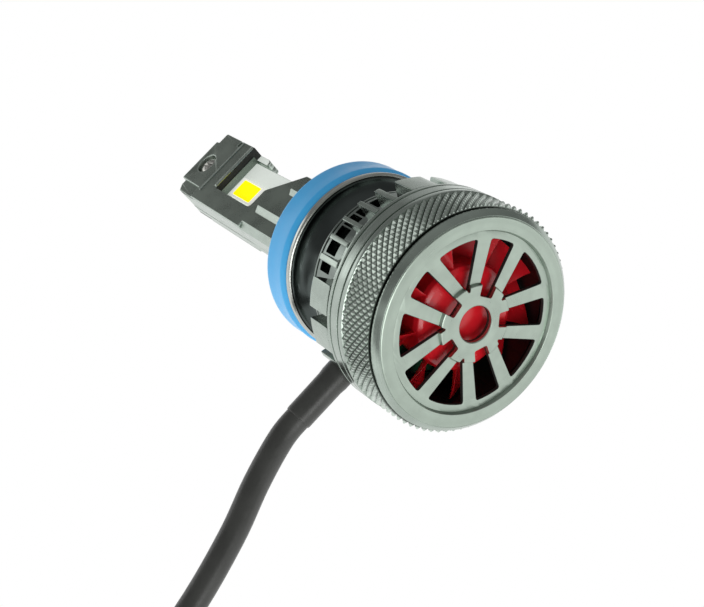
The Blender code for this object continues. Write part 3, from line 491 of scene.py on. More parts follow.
def base_outline():
    """Outline of the full-width base plate under the cover, round the light opening, with the rounded ear."""
    points = [
        (-42.1, -STEM_HALF + 0.06), (-2.2, -STEM_HALF + 0.06), (-2.2, 5.7), (WEDGE_BACK, 5.7),
        (POCKET_BACK, 0.85), (POCKET_BACK, -2.65), (POCKET_FRONT + 0.05, -2.65), (POCKET_FRONT + 0.05, 5.1),
        (-29.75, 5.1), (-30.2, STEM_HALF - 0.06), (-43.1, STEM_HALF - 0.06), (-43.1, -5.0),
    ]
    radii = [0.8, 0, 0, 0.2, 0.3, 0.3, 0.3, 0.15, 0.3, 1.1, 0.3, 0.5]
    return fillet(points, radii, 4)


def cover_piece(side, placer):
    """One half of the stem: base plate, raised dark cover, ridge, bare edge rails and screw recess."""
    bm = bmesh.new()
    recess = circle(1.75, 48, (SCREW_X, 0.0))
    hole = circle(1.1, 32, (SCREW_X, 0.0))
    slab(bm, [base_outline(), hole], 0.8, 1.18, 0.06, placer, 2, 1, 1)
    # Two-tone finish, partly painted light: the raised faces take the dark coat and their sides the lighter
    # bare metal, which also stands in for the sides catching more light than the faces.
    slab(bm, [cover_outline(), recess], 1.1, STEM_TOP - 0.4, 0.02, placer, 2, 0, 1)
    slab(bm, [top_outline(), recess], STEM_TOP - 0.6, STEM_TOP, 0.14, placer, 3, 0, 1)
    slab(bm, [ledge_outline()], STEM_TOP - 0.9, STEM_TOP - 0.38, 0.12, placer, 3, 0, 1)
    paint_opening_shade(bm)
    ridge = rectangle(POCKET_FRONT - 0.75, -2.6, POCKET_FRONT - 0.1, 5.9, 0.2, 3)
    slab(bm, [ridge], STEM_TOP - 0.4, STEM_TOP + 0.22, 0.2, placer, 3, 1, 1)
    step = rectangle(POCKET_FRONT - 0.1, -2.6, POCKET_FRONT + 0.15, 5.0, 0.05, 3)
    slab(bm, [step], 0.6, 2.15, 0.08, placer, 2, 0, 0)
    rib = rectangle(-37.0, -4.4, -36.6, 5.9, 0.1, 3)
    slab(bm, [rib], STEM_TOP - 0.4, STEM_TOP + 0.12, 0.1, placer, 3, 1, 1)
    screw_cup(bm, placer)
    edge_rails(bm, placer)
    looks = ["gunmetal", "bare_edge", "dark_wall", "board_white"]
    place("stem_cover_" + side, bm, looks, LAMP, ("cover_plate_" + side,))


def top_outline():
    """The cover's top skin: like the cover, cut back beside the pad at the tip."""
    notch = [(-37.4, STEM_HALF), (-37.4, 5.0), (-38.0, 5.0), (-38.0, STEM_HALF)]
    tip = [(-43.2, STEM_HALF), (-43.2, 4.1), (TIP_X, 4.1), (TIP_X, -4.1), (-37.6, -4.1)]
    points = [(-37.6, -STEM_HALF)] + OPENING_EDGE + notch + tip
    radii = [0.15] + OPENING_RADII + [0.1] * 4 + [0.3, 0.15, 0.35, 0.35, 0.15]
    return fillet(points, radii, 3)


def ledge_outline():
    """The lower strip beside the pad."""
    points = [(-42.3, -STEM_HALF), (-37.3, -STEM_HALF), (-37.3, -3.8), (-43.2, -3.8), (-43.2, -5.0)]
    return fillet(points, [0.8, 0.1, 0.1, 0.1, 0.5], 3)


def screw_cup(bm, placer):
    """Bright countersink at the bottom of the screw recess."""
    profile = [(1.35, 1.1), (1.9, 1.1), (2.05, 2.0), (2.05, 2.12), (1.35, 2.12)]
    since = len(bm.verts)
    lathe(bm, profile, 48, 1)
    bm.verts.ensure_lookup_table()
    for vert in bm.verts[since:]:
        x, y, z = vert.co / MM
        vert.co = placer(y + SCREW_X, z, x)


def prism(bm, section, start, end, placer, material):
    """A straight bar along X; the section lists (distance from the middle plane, Z)."""
    rings = [[bm.verts.new(placer(x, z, height)) for height, z in section] for x in (start, end)]
    faces = [bm.faces.new(rings[0]), bm.faces.new(rings[1])] + band(bm, rings[0], rings[1])
    for face in faces:
        face.material_index = material
    bmesh.ops.recalc_face_normals(bm, faces=faces)


def paint_opening_shade(bm):
    """Painted shade: the walls round the light opening get a near-black material where they sit in shade; the
    outer walls stay bare.
    """
    for face in bm.faces:
        middle = face.calc_center_median() / MM
        inside = POCKET_FRONT - 0.3 < middle.x < WEDGE_BACK + 0.1 and middle.z > POCKET_LOW - 0.1
        if inside and abs(middle.y) > 1.25 and face.material_index == 1:
            face.material_index = 2


def edge_rails(bm, placer):
    """Bare rails that close the long edges between the two halves, and the step under the narrow cover."""
    low_edge = [(-42.5, -STEM_HALF + 0.05), (-2.2, -STEM_HALF + 0.05), (-2.2, -4.95), (-42.5, -4.95)]
    tip_edge = rectangle(-43.1, -5.0, -42.72, 6.0)
    high_edge = rectangle(-43.1, 4.9, POCKET_FRONT, STEM_HALF - 0.08)
    for outline in (fillet(low_edge, [0.9, 0, 0, 0.1], 4), tip_edge, high_edge):
        slab(bm, [outline], 0.0, RAIL_TOP, 0.01, placer, 1, 1, 1)
    ear_back, ear_top = POCKET_FRONT - 0.1, STEM_HALF - 0.06
    ear = fillet([(ear_back, 5.0), (-29.75, 5.0), (-30.2, ear_top), (ear_back, ear_top)], [0, 0.3, 1.1, 0], 5)
    slab(bm, [ear], 0.0, 1.24, 0.06, placer, 2, 3, 1)
    slab(bm, [rectangle(WEDGE_BACK, 4.9, -2.2, 5.68)], 0.0, RAIL_TOP, 0.01, placer, 1, 1, 1)
    section = ((1.0, -STEM_HALF + 0.03), (2.3, -STEM_HALF + 0.03), (STEM_TOP - 0.06, -5.08), (1.0, -5.08))
    prism(bm, section, -20.55, -2.2, placer, 1)


def make_stem():
    for side, placer in (("near", near_face), ("far", far_face)):
        cover_piece(side, placer)
        light_pieces(side, placer)
        guide_keys(side, placer)
    stem_tongue()
    tip_screw()


def stem_tongue():
    """The stem's narrow tail inside the neck."""
    for side, placer in (("near", near_face), ("far", far_face)):
        bm = bmesh.new()
        slab(bm, [rectangle(-2.3, -4.4, 8.0, 4.4, 0.2)], 0.8, 2.7, 0.1, placer, 2)
        place("stem_tongue_" + side, bm, "bare_edge", LAMP, ())


def board_skin(side, placer):
    """The white face of the core board that shows in the light opening."""
    bm = bmesh.new()
    outline = [(-33.2, -2.65), (-22.1, -2.65), (-22.1, 0.8), (-16.0, 5.6), (-16.4, 4.75), (-33.2, 4.75)]
    slab(bm, [fillet(outline, [0, 0, 0, 0, 0.2, 0.1], 3)], 0.5, BOARD_TOP, 0.06, placer, 2, 0, 1)
    place("board_skin_" + side, bm, ["board_white", "bare_edge"], LAMP, ())


def light_pieces(side, placer):
    board_skin(side, placer)
    half_x, half_z = 3.5, 1.78
    bm = bmesh.new()
    outer = rectangle(LED_X - half_x, LED_Z - half_z, LED_X + half_x, LED_Z + half_z, 0.2)
    inner = rectangle(LED_X - 2.78, LED_Z - 1.47, LED_X + 2.72, LED_Z + 1.47, 0.3)
    slab(bm, [outer], 0.7, 1.5, 0.05, placer, 2)
    slab(bm, [outer, inner], 1.4, 1.68, 0.07, placer, 3)
    place("led_body_" + side, bm, "led_white", LAMP, ("led_package_" + side,))
    bm = bmesh.new()
    glow = rectangle(LED_X - 2.77, LED_Z - 1.46, LED_X + 2.71, LED_Z + 1.46, 0.3)
    slab(bm, [glow], 1.42, 1.7, 0.08, placer, 3)
    place("led_glow_" + side, bm, "phosphor", LAMP, ("led_phosphor_" + side,))


def guide_keys(side, placer):
    """Ribs with a sloping outer face, low at the -Z edge."""
    for name, low, wide, start in (("low", -2.9, 1.05, -19.5), ("high", 1.95, 0.85, -15.9)):
        bm = bmesh.new()
        section = ((2.2, low), (3.15, low), (3.7, low + wide), (2.2, low + wide))
        prism(bm, section, start, -4.0, placer, 0)
        bmesh.ops.bevel(bm, geom=bm.edges[:], offset=0.1 * MM, segments=3, affect="EDGES", profile=0.6)
        place(f"key_{name}_{side}", bm, "bare_edge", LAMP, (f"guide_key_{name}_{side}",))


def tip_screw():
    """Pan-head screw with a cross recess, seen at the bottom of its cup."""
    bm = bmesh.new()
    head = [(2.0, 0.0), (2.0, 1.45), (2.3, 1.6), (2.55, 1.5), (2.75, 1.15), (2.85, 0.6), (2.88, 0.0)]
    lathe(bm, head, 48)
    shank = [(-2.8, 0.0), (-2.8, 0.7), (-2.7, 0.8), (2.1, 0.8), (2.1, 0.0)]
    lathe(bm, shank, 24)
    for vert in bm.verts:
        x, y, z = vert.co / MM
        vert.co = near_face(y + SCREW_X, z, x)
    cutter = bmesh.new()
    turn = radians(28.0)
    for angle in (turn, turn + pi / 2.0):
        out, side = (cos(angle), sin(angle)), (-sin(angle), cos(angle))
        corners = [(SCREW_X + out[0] * u + side[0] * v, out[1] * u + side[1] * v)
                   for u, v in ((-1.0, -0.2), (1.0, -0.2), (1.0, 0.2), (-1.0, 0.2))]
        slab(cutter, [corners], 2.35, 3.4, 0.02, near_face, 1)
    piece = place("tip_screw_head", bm, "steel", LAMP, ("tip_screw",))
    carve(piece, to_mesh("cross", cutter))


def carve(piece, tool_mesh):
    """Cut a tool out of a piece and keep the result as its mesh."""
    tool = add_object("carver", tool_mesh)
    modifier = piece.modifiers.new("carve", "BOOLEAN")
    modifier.object = tool
    modifier.solver = "EXACT"
    modifier.use_self = True
    bpy.context.view_layer.update()
    graph = bpy.context.evaluated_depsgraph_get()
    made = bpy.data.meshes.new_from_object(piece.evaluated_get(graph))
    piece.modifiers.clear()
    piece.data = made
    bpy.data.objects.remove(tool, do_unlink=True)
    made.shade_smooth()
    made.set_sharp_from_angle(angle=radians(35.0))


# ---- collar

def make_collar():
    bm = bmesh.new()
    front = [(-1.8, 7.35), (-1.8, 10.7), (-1.1, 10.95), (5.7, 10.95), (5.7, 7.35)]
    lathe(bm, fillet(front, [0.15, 0.3, 0.2, 0, 0], 4), 144)
    flare = [(5.0, 7.35), (5.0, 11.9), (6.15, 11.9)]
    for step in range(25):
        turn = pi / 2.0 * step / 24.0
        flare.append((11.6 - 5.35 * cos(turn) ** 1.15, 11.75 - 3.75 * sin(turn)))
    flare += [(11.8, 7.9), (11.8, 7.35)]
    lathe(bm, flare, 144)
    for angle in (25.0, 90.0, 155.0):
        collar_tab(bm, angle)
    place("collar_shell", bm, "dark_metal", COLLAR, ("collar_body",))
    bm = bmesh.new()
    rim = fillet([(5.45, 10.9), (5.45, 12.35), (6.15, 12.35), (6.3, 12.0), (6.15, 11.72), (5.9, 10.9)],
                 [0.1, 0.2, 0.2, 0.15, 0.1, 0.1], 4)
    lathe(bm, rim, 160)
    place("collar_rim", bm, "rim_metal", COLLAR, ())
    bm = bmesh.new()
    seal = [(0.35, 11.2), (0.35, 12.2), (1.0, 12.7), (2.2, 12.62), (2.825, 12.6), (3.45, 12.62), (4.65, 12.7),
            (5.3, 12.2), (5.3, 11.2)]
    lathe(bm, fillet(seal, [0.1, 0.5, 0.5, 0.4, 0, 0.4, 0.5, 0.5, 0.1], 5), 160)
    place("seal_band", bm, "blue_silicone", COLLAR, ("collar_seal",))
    set_screw()


def collar_tab(bm, degrees):
    """One locating tab of the collar's front flange."""
    outline = [(-2.4, 9.6), (2.4, 9.6), (2.3, 12.0), (0.0, 12.1), (-2.3, 12.0)]

    def placer(a, b, height):
        y, z = swing(b, a, radians(degrees))
        return Vector((height * MM, y * MM, z * MM))

    slab(bm, [fillet(outline, [0.1, 0.1, 0.4, 0, 0.4], 3)], -1.5, -0.1, 0.15, placer, 3)


LOCK_SCREW_X = 9.0


def set_screw():
    """Socket screw that locks the collar, in its threaded boss."""
    bm = bmesh.new()
    lathe(bm, fillet([(7.6, 0.5), (7.6, 1.15), (8.75, 1.15), (8.9, 1.0), (8.9, 0.5)], 0.06, 2), 40)
    lathe(bm, [(7.6, 0.0), (7.6, 0.6), (8.25, 0.6), (8.25, 0.0)], 6)
    for vert in bm.verts:
        x, y, z = vert.co
        vert.co = Vector((y + LOCK_SCREW_X * MM, z, x))
    place("collar_lock_screw", bm, "steel", COLLAR, ("collar_set_screw",))


# ---- cooler

FIN_SLOTS = ((5.3, 2.0), (16.1, 2.0), (27.9, 2.2), (51.0, 1.5), (72.0, 1.4))
FIN_TURN = -3.0
FIN_R = 14.2
FIN_ROOT = 11.3


def slot_angles():
    """Every slot as (angle from Z towards Y in degrees, width in mm), in order round the ring."""
    found = []
    for base in (0.0, 180.0):
        for angle, width in FIN_SLOTS:
            found.append(((base + 90.0 - angle + FIN_TURN) % 360.0, width))
            found.append(((base + 90.0 + angle + FIN_TURN) % 360.0, width))
    found.append((180.0, 4.3))
    return sorted(found)


def fin_outline(outer, root):
    """Outline of the slotted ring: arcs of the outer radius between radial slots."""
    points, radii = [], []
    slots = slot_angles()
    for index, (angle, width) in enumerate(slots):
        next_angle, next_width = slots[(index + 1) % len(slots)]
        if next_angle <= angle:
            next_angle += 360.0
        floor = root if width < 4.0 else root - 0.8
        half = math.asin(0.5 * width / outer)
        for sign, radius in ((-1, outer), (-1, floor), (1, floor), (1, outer)):
            out = math.sqrt(radius ** 2 - (0.5 * width) ** 2)
            points.append(swing(out, sign * 0.5 * width, radians(angle)))
            radii.append(0.12 if radius == outer else 0.35)
        start = radians(angle) + half
        end = radians(next_angle) - math.asin(0.5 * next_width / outer)
        steps = max(1, int(math.degrees(end - start) / 2.5))
        for step in range(1, steps):
            turn = start + (end - start) * step / steps
            points.append((outer * sin(turn), outer * cos(turn)))
            radii.append(0.0)
    return fillet(points, radii, 2)


def make_cooler():
    bm = bmesh.new()
    slab(bm, [fin_outline(FIN_R, FIN_ROOT), circle(9.9, 96)], 15.2, 19.3, 0.13, along_x, 3, 0, 0)
    place("cooler_fins", bm, "fin_metal", LAMP, ("cooler_body",), 30.0)
    bm = bmesh.new()
    ramp = [(16.9, 9.9), (16.9, 11.2), (17.2, 11.35), (18.3, 12.45), (19.45, 12.5), (19.45, 9.9)]
    lathe(bm, ramp, 120)
    neck = [(-1.6, 5.6), (-1.6, 6.85), (-1.45, 7.0), (14.6, 7.0), (14.6, 5.6)]
    lathe(bm, neck, 96)
    spigot = [(19.2, 10.1), (19.2, 13.6), (19.7, 13.6), (19.7, 12.8), (21.0, 12.8), (21.0, 10.1)]
    lathe(bm, spigot, 96)
    place("cooler_hub", bm, "light_metal", LAMP, ())
    make_shroud()


def make_shroud():
    """The thin drum in front of the fins: a groove near its edge, a window ahead of each middle slot."""
    bm = bmesh.new()
    drum = [(13.8, 6.9), (13.8, 9.4), (10.3, 9.4), (10.3, 11.06), (10.68, 11.06), (10.72, 10.8),
            (10.95, 10.8), (10.99, 11.06), (15.3, 11.06), (15.3, 6.9)]
    lathe(bm, fillet(drum, [0, 0.1, 0.1, 0.12, 0.05, 0, 0, 0.05, 0, 0], 3), 144)
    piece = place("cooler_shroud", bm, "shroud_metal", LAMP, ())
    tool = bmesh.new()
    for base in (0.0, 180.0):
        for angle, width in FIN_SLOTS[:3]:
            for sign in (-1.0, 1.0):
                add_window_tool(tool, base + 90.0 + sign * angle + FIN_TURN, 0.46 * width)
    carve(piece, to_mesh("shroud_windows", tool))


def add_window_tool(bm, degrees, half_width):
    """One window of the drum, as a block that points outwards."""

    def placer(a, b, height):
        y, z = swing(height, a, radians(degrees))
        return Vector((b * MM, y * MM, z * MM))

    slab(bm, [rectangle(-half_width, 11.5, half_width, 13.7, 0.15, 3)], 8.9, 12.0, 0.02, placer, 1)


# ---- knurled sleeve

KNURL_COUNT = 80
KNURL_PITCH = 1.1
KNURL_FRONT = 23.5
KNURL_END = 28.72
KNURL_ROOT = 14.04
KNURL_CREST = 14.5
KNURL_FLAT = 0.20
KNURL_INNER = 13.3


def knurl_vertex(bm, cache, column, row, share):
    """A point of the diamond lattice; column and row count half pitches, share is height from 0 to 1."""
    key = (round(column, 4) % (2 * KNURL_COUNT), round(row, 4), round(share, 3))
    if key not in cache:
        radius = KNURL_ROOT + (KNURL_CREST - KNURL_ROOT) * share
        x = KNURL_FRONT + 0.5 * KNURL_PITCH * row
        cache[key] = bm.verts.new(ring_point(x, radius, pi * column / KNURL_COUNT))
    return cache[key]


def knurl_band():
    """Diamonds with slightly flattened tops, standing between two crossing families of grooves."""
    bm = bmesh.new()
    cache = {}
    rows = int(round((KNURL_END - KNURL_FRONT) / KNURL_PITCH * 2.0)) + 2
    for row in range(-1, rows + 1):
        for column in range(2 * KNURL_COUNT):
            if (row + column) % 2 == 0:
                continue
            corners = [(column + 1, row), (column, row + 1), (column - 1, row), (column, row - 1)]
            base = [knurl_vertex(bm, cache, c, r, 0.0) for c, r in corners]
            inner = [(column + (c - column) * KNURL_FLAT, row + (r - row) * KNURL_FLAT) for c, r in corners]
            top = [knurl_vertex(bm, cache, c, r, 0.93) for c, r in inner]
            peak = knurl_vertex(bm, cache, column, row, 1.0)
            for index in range(4):
                after = (index + 1) % 4
                bm.faces.new((base[index], base[after], top[after], top[index]))
                bm.faces.new((top[index], top[after], peak))
    trim_knurl(bm)
    return bm


def trim_knurl(bm):
    """Cut the band square at both ends and turn the edge down into a chamfer."""
    for place_x, way in ((KNURL_FRONT + 0.02, -1.0), (KNURL_END, 1.0)):
        geometry = bm.verts[:] + bm.edges[:] + bm.faces[:]
        bmesh.ops.bisect_plane(bm, geom=geometry, plane_co=(place_x * MM, 0.0, 0.0), plane_no=(way, 0.0, 0.0),
                               clear_outer=True, dist=1e-7)
    for place_x, out, radius in ((KNURL_FRONT + 0.02, -0.12, 13.95), (KNURL_END, 0.04, 13.65)):
        edges = [edge for edge in bm.edges if edge.is_boundary
                 and all(abs(vert.co.x - place_x * MM) < 2e-6 for vert in edge.verts)]
        new = bmesh.ops.extrude_edge_only(bm, edges=edges)["geom"]
        for vert in [item for item in new if isinstance(item, bmesh.types.BMVert)]:
            vert.co = ring_point(place_x + out, radius, math.atan2(vert.co.y, vert.co.z))


def close_knurl(bm):
    """Join the band's two end rings through a plain inner wall, so the piece is closed."""
    loops = []
    for side in (min, max):
        edge_x = side(vert.co.x for vert in bm.verts)
        loops.append([e for e in bm.edges if e.is_boundary and abs(e.verts[0].co.x - edge_x) < 1e-6])
    inner = []
    for edges in loops:
        new = bmesh.ops.extrude_edge_only(bm, edges=edges)["geom"]
        verts = [item for item in new if isinstance(item, bmesh.types.BMVert)]
        for vert in verts:
            angle = math.atan2(vert.co.y, vert.co.z)
            reach = KNURL_INNER * MM
            vert.co = Vector((vert.co.x, reach * sin(angle), reach * cos(angle)))
        inner += [item for item in new if isinstance(item, bmesh.types.BMEdge)]
    bmesh.ops.bridge_loops(bm, edges=inner)


def in_order(bm):
    """The same mesh in a fixed order: the cuts leave points and faces in a different one each run.

    A four-sided face is folded between its first and third corners, so it starts at one of those two.
    """
    bmesh.ops.remove_doubles(bm, verts=bm.verts, dist=1e-7)
    bmesh.ops.recalc_face_normals(bm, faces=bm.faces)
    verts = sorted(bm.verts, key=lambda vert: tuple(vert.co))
    number = {vert: index for index, vert in enumerate(verts)}
    rings = []
    for face in bm.faces:
        ring = [number[vert] for vert in face.verts]
        starts = {3: ring, 4: ring[::2]}.get(len(ring), ring[:1])
        first = ring.index(min(starts))
        rings.append(ring[first:] + ring[:first])
    fresh = bmesh.new()
    spots = [fresh.verts.new(vert.co) for vert in verts]
    for ring in sorted(rings):
        fresh.faces.new([spots[index] for index in ring])
    bm.free()
    return fresh


def make_sleeve():
    bm = knurl_band()
    close_knurl(bm)
    bm = in_order(bm)
    place("sleeve_knurl", bm, "knurl_teeth", LAMP, (), 12.0, False)
    bm = bmesh.new()
    ring = [(19.8, 13.15), (19.8, 14.25), (20.05, 14.5), (20.53, 14.5), (20.58, 14.15), (20.8, 14.15),
            (20.85, 14.5), (22.28, 14.5), (22.33, 14.15), (22.55, 14.15), (22.6, 14.5), (23.3, 14.5),
            (23.42, 14.1), (23.9, 14.0), (23.9, 13.15)]
    groove = [0.05, 0.04, 0.04, 0.05]
    lathe(bm, fillet(ring, [0, 0.06, 0.1] + groove + groove + [0.08, 0, 0, 0], 3), 160)
    lathe(bm, [(23.8, 13.15), (23.8, 13.6), (28.7, 13.6), (28.8, 13.5), (28.8, 13.15)], 96)
    place("sleeve_ring", bm, "knurl_metal", LAMP, ("knurl_sleeve",), 25.0)


# ---- wheel cover

WINDOW_OUTER = 10.42
WIDE_HALF_OUT = 1.76


def window_loop(wide, degrees):
    """Window outline in (Y, Z) with rounded corners."""
    if wide:
        inner, half_in = 3.4, 0.92
        spread = math.degrees(math.asin(WIDE_HALF_OUT / WINDOW_OUTER))
        arc = (-spread, -spread / 2, 0.0, spread / 2, spread)
        radii = [0.3, 0.35, 0, 0, 0, 0.35, 0.3]
    else:
        inner, half_in = 4.35, 0.12
        arc = (-15.3, -10.2, -5.1, 0.0, 5.1, 10.2, 15.3)
        radii = [0.08, 0.3, 0, 0, 0, 0, 0, 0.3, 0.08]
    rim = [(WINDOW_OUTER * cos(radians(a)), WINDOW_OUTER * sin(radians(a))) for a in arc]
    corners = [(inner, -half_in)] + rim + [(inner, half_in)]
    turned = [swing(far, side, radians(degrees)) for far, side in corners]
    return fillet(turned, radii, 4)


def make_wheel():
    bm = bmesh.new()
    windows = []
    for step in range(5):
        windows.append(window_loop(True, 42.0 + 72.0 * step))
        windows.append(window_loop(False, 6.0 + 72.0 * step))
    # Painted shade: the disc's walls and rounded edges, at the windows and round its rims, take the
    # near-black look.
    slab(bm, [circle(11.4, 144), circle(2.3, 64)] + windows, 29.02, 29.55, 0.05, along_x, 2, 0, 1)
    rim = [(28.95, 11.3), (28.95, 13.9), (29.3, 13.9), (29.3, 13.3), (29.95, 13.2), (30.0, 13.05),
           (30.0, 11.55), (29.5, 11.36)]
    lathe(bm, fillet(rim, [0, 0, 0, 0, 0.08, 0.08, 0.1, 0.05], 3), 160)
    looks = ["face_metal", "dark_wall"]
    place("wheel_face", bm, looks, LAMP, ("wheel_cover",), 30.0)
    bm = bmesh.new()
    boss = [(29.3, 2.3), (29.3, 5.1), (29.56, 5.05), (29.95, 4.9), (30.0, 4.8), (30.0, 2.42), (29.9, 2.3)]
    lathe(bm, fillet(boss, [0, 0, 0.05, 0.05, 0.05, 0.05, 0.05], 3), 128)
    hub = place("wheel_hub", bm, looks[:1], LAMP, (), 30.0)
    tool = bmesh.new()
    for outline in windows:
        slab(tool, [outline], 28.6, 31.0, 0.005, along_x, 1)
    carve(hub, to_mesh("hub_windows", tool))
    bm = bmesh.new()
    band = [(28.9, 13.0), (28.9, 13.75), (29.05, 13.95), (29.25, 13.95), (29.92, 13.27), (29.8, 13.0)]
    lathe(bm, fillet(band, [0, 0.1, 0.08, 0.15, 0.05, 0], 3), 160)
    spigot = [(27.6, 12.2), (27.6, 12.8), (28.95, 12.8), (28.95, 12.0)]
    lathe(bm, spigot, 96)
    place("wheel_band", bm, "band_metal", LAMP, (), 30.0)


# ---- fan

BLADE_COUNT = 9
BLADE_ROOT = 6.75
BLADE_TIP = 10.55


def make_fan():
    bm = bmesh.new()
    hub = [(22.9, 6.3), (22.9, 6.9), (27.0, 6.9), (27.6, 6.65), (27.85, 6.1), (27.9, 5.2), (27.9, 0.0),
           (27.0, 0.0), (27.0, 6.3)]
    lathe(bm, fillet(hub, [0, 0.1, 0.4, 0.3, 0.2, 0.2, 0, 0, 0.2], 4), 128)
    for step in range(BLADE_COUNT):
        add_blade(bm, 360.0 / BLADE_COUNT * step)
    place("fan_wheel", bm, "red_plastic", ROTOR, ("impeller",), 40.0)


def add_blade(bm, degrees):
    """Cambered blade with rounded edges, lofted from the hub to its tip."""
    sections = []
    for step in range(7):
        share = step / 6.0
        radius = BLADE_ROOT + (BLADE_TIP - BLADE_ROOT) * share
        sections.append(blade_section(bm, radius, 52.0 - 18.0 * share, radians(degrees)))
    bm.faces.new(sections[0])
    bm.faces.new(list(reversed(sections[-1])))
    for first, second in zip(sections, sections[1:]):
        band(bm, first, second)


def blade_section(bm, radius, twist, angle):
    """A thin curved section: up one side and back down the other."""
    middle, half_x = 25.3, 2.15
    half_sweep = half_x / math.tan(radians(twist))
    upper, lower = [], []
    for step in range(9):
        u = -1.0 + 2.0 * step / 8.0
        thick = 0.3 * math.sqrt(max(0.0, 1.0 - u ** 4)) + 0.03
        bow = 0.45 * (1.0 - u * u)
        x = middle + u * half_x
        across = u * half_sweep + bow
        for store, sign in ((upper, 1.0), (lower, -1.0)):
            sweep = angle + (across + sign * thick) / radius
            store.append(bm.verts.new(ring_point(x, radius, sweep)))
    return upper + list(reversed(lower))


# ---- cord and connector

CORD_ROUTE = (
    (17.15, 0.0, -21.3), (17.3, 0.1, -25.0), (18.6, 0.9, -31.0), (20.6, 2.2, -38.0), (22.6, 3.4, -48.0),
    (24.0, 4.3, -62.0), (24.3, 4.6, -78.0), (24.0, 4.5, -92.0), (24.0, 4.5, -103.7),
)
CORD_R = 1.7
PLUG_X, PLUG_Y = 24.0, 4.5


def blend(before, start, end, after, share):
    out_slope, in_slope = (end - before) * 0.5, (after - start) * 0.5
    square, cube = share ** 2, share ** 3
    return (start * (2 * cube - 3 * square + 1) + out_slope * (cube - 2 * square + share)
            + end * (3 * square - 2 * cube) + in_slope * (cube - square))


def cord_path():
    knots = [Vector(point) * MM for point in CORD_ROUTE]
    path = []
    for index in range(len(knots) - 1):
        before, after = knots[max(index - 1, 0)], knots[min(index + 2, len(knots) - 1)]
        for step in range(6):
            path.append(blend(before, knots[index], knots[index + 1], after, step / 6.0))
    path.append(knots[-1])
    return path


def make_cord():
    path = cord_path()
    curve = bpy.data.curves.new("pigtail_cable", "CURVE")
    curve.dimensions = "3D"
    curve.bevel_depth = CORD_R * MM
    curve.bevel_resolution = 8
    curve.use_fill_caps = True
    spline = curve.splines.new("POLY")
    spline.points.add(len(path) - 1)
    for point, spot in zip(spline.points, path):
        point.co = (*spot, 1.0)
    spline.use_smooth = True
    curve.materials.append(LOOKS["cable_jacket"])
    cable = add_object("pigtail_cable", curve)
    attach(cable, LAMP)
    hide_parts("cord")
    pieces = make_plug()


def make_relief():
    bm = bmesh.new()
    profile = [(-9.0, 0.0), (-9.0, 1.95), (-15.2, 1.95), (-16.0, 1.85), (-21.6, 1.82), (-21.9, 1.78),
               (-21.9, 0.0)]
    lathe(bm, fillet(profile, [0, 0.1, 0.3, 0.3, 0.3, 0.1, 0], 3), 48)
    stand_down(bm, 17.15, 0.0)
    place("cable_relief", bm, "cable_jacket", LAMP, ("strain_relief",))


def stand_down(bm, centre_x, centre_y):
    for vert in bm.verts:
        x, y, z = vert.co
        vert.co = Vector((y + centre_x * MM, z + centre_y * MM, x))


def make_plug():
    bm = bmesh.new()
    boot = [(-104.0, 0.0), (-104.0, 2.0), (-104.4, 2.3)]
    for step in range(4):
        top = -105.2 - 1.7 * step
        radius = 2.4 + 0.24 * step
        boot += [(top, radius), (top - 0.25, radius - 0.35), (top - 0.75, radius - 0.35),
                 (top - 1.0, radius + 0.1)]
    boot += [(-111.8, 3.35), (-114.0, 3.4), (-114.0, 0.0)]
    lathe(bm, fillet(boot, [0, 0.1, 0.2] + [0.12] * 16 + [0.2, 0.15, 0], 2), 56)
    stand_down(bm, PLUG_X, PLUG_Y)
    pieces = [place("plug_boot", bm, "black_rubber", LAMP, ("connector_boot",))]
    pieces.append(plug_housing())
    for name, side in (("left", -1.0), ("right", 1.0)):
        bm = bmesh.new()
        centre = PLUG_X + side * 3.5
        outline = fillet([(centre - 1.4, -134.0 + 0.7), (centre - 0.9, -134.0), (centre + 0.9, -134.0),
                          (centre + 1.4, -134.0 + 0.7), (centre + 1.4, -119.4), (centre - 1.4, -119.4)], 0.2)
        slab(bm, [outline], PLUG_Y - 0.4, PLUG_Y + 0.4, 0.12, far_face, 2)
        pieces.append(place("plug_blade_" + name, bm, "steel", LAMP, ("blade_" + name,)))
    return pieces


def plug_housing():
    """Shrouded two-blade plug: shell with keyed mouth, ribs, shoulders and a locking ramp."""
    bm = bmesh.new()
    x0, x1, y0, y1 = PLUG_X - 10.0, PLUG_X + 10.0, PLUG_Y - 7.0, PLUG_Y + 7.0
    outer = rectangle(x0 + 0.3, y0 + 0.3, x1 - 0.3, y1 - 0.3, 1.8, 6)
    lip = rectangle(x0, y0, x1, y1, 2.0, 6)
    mouth = rectangle(x0 + 1.4, y0 + 1.4, x1 - 1.4, y1 - 1.4, 1.0, 5)
    slab(bm, [outer, mouth], -137.8, -123.9, 0.25, hanging, 3)
    slab(bm, [lip, mouth], -138.0, -136.4, 0.3, hanging, 3)
    slab(bm, [outer], -124.2, -120.4, 0.3, hanging, 3)
    rear = rectangle(x0 + 3.0, y0 + 0.5, x1 - 3.0, y1 - 0.5, 2.0, 6)
    slab(bm, [rear], -120.8, -114.3, 0.5, hanging, 3)
    collar = rectangle(x0 + 2.6, y0 + 0.1, x1 - 2.6, y1 - 0.1, 2.2, 6)
    slab(bm, [collar], -117.6, -116.4, 0.25, hanging, 3)
    for side in (-1.0, 1.0):
        for step in range(3):
            middle = PLUG_X + side * (3.5 + 1.9 * step)
            add_rib(bm, middle, y1 - 0.45)
        edge = PLUG_X + side * 10.0
        low, high = min(edge, edge - side * 0.5), max(edge, edge - side * 0.5)
        slab(bm, [rectangle(low, PLUG_Y - 2.4, high, PLUG_Y + 2.4, 0.2)], -134.5, -122.5, 0.15, hanging, 2)
    latch(bm, y0)
    return place("plug_housing", bm, "housing_plastic", LAMP, ("connector_housing",))


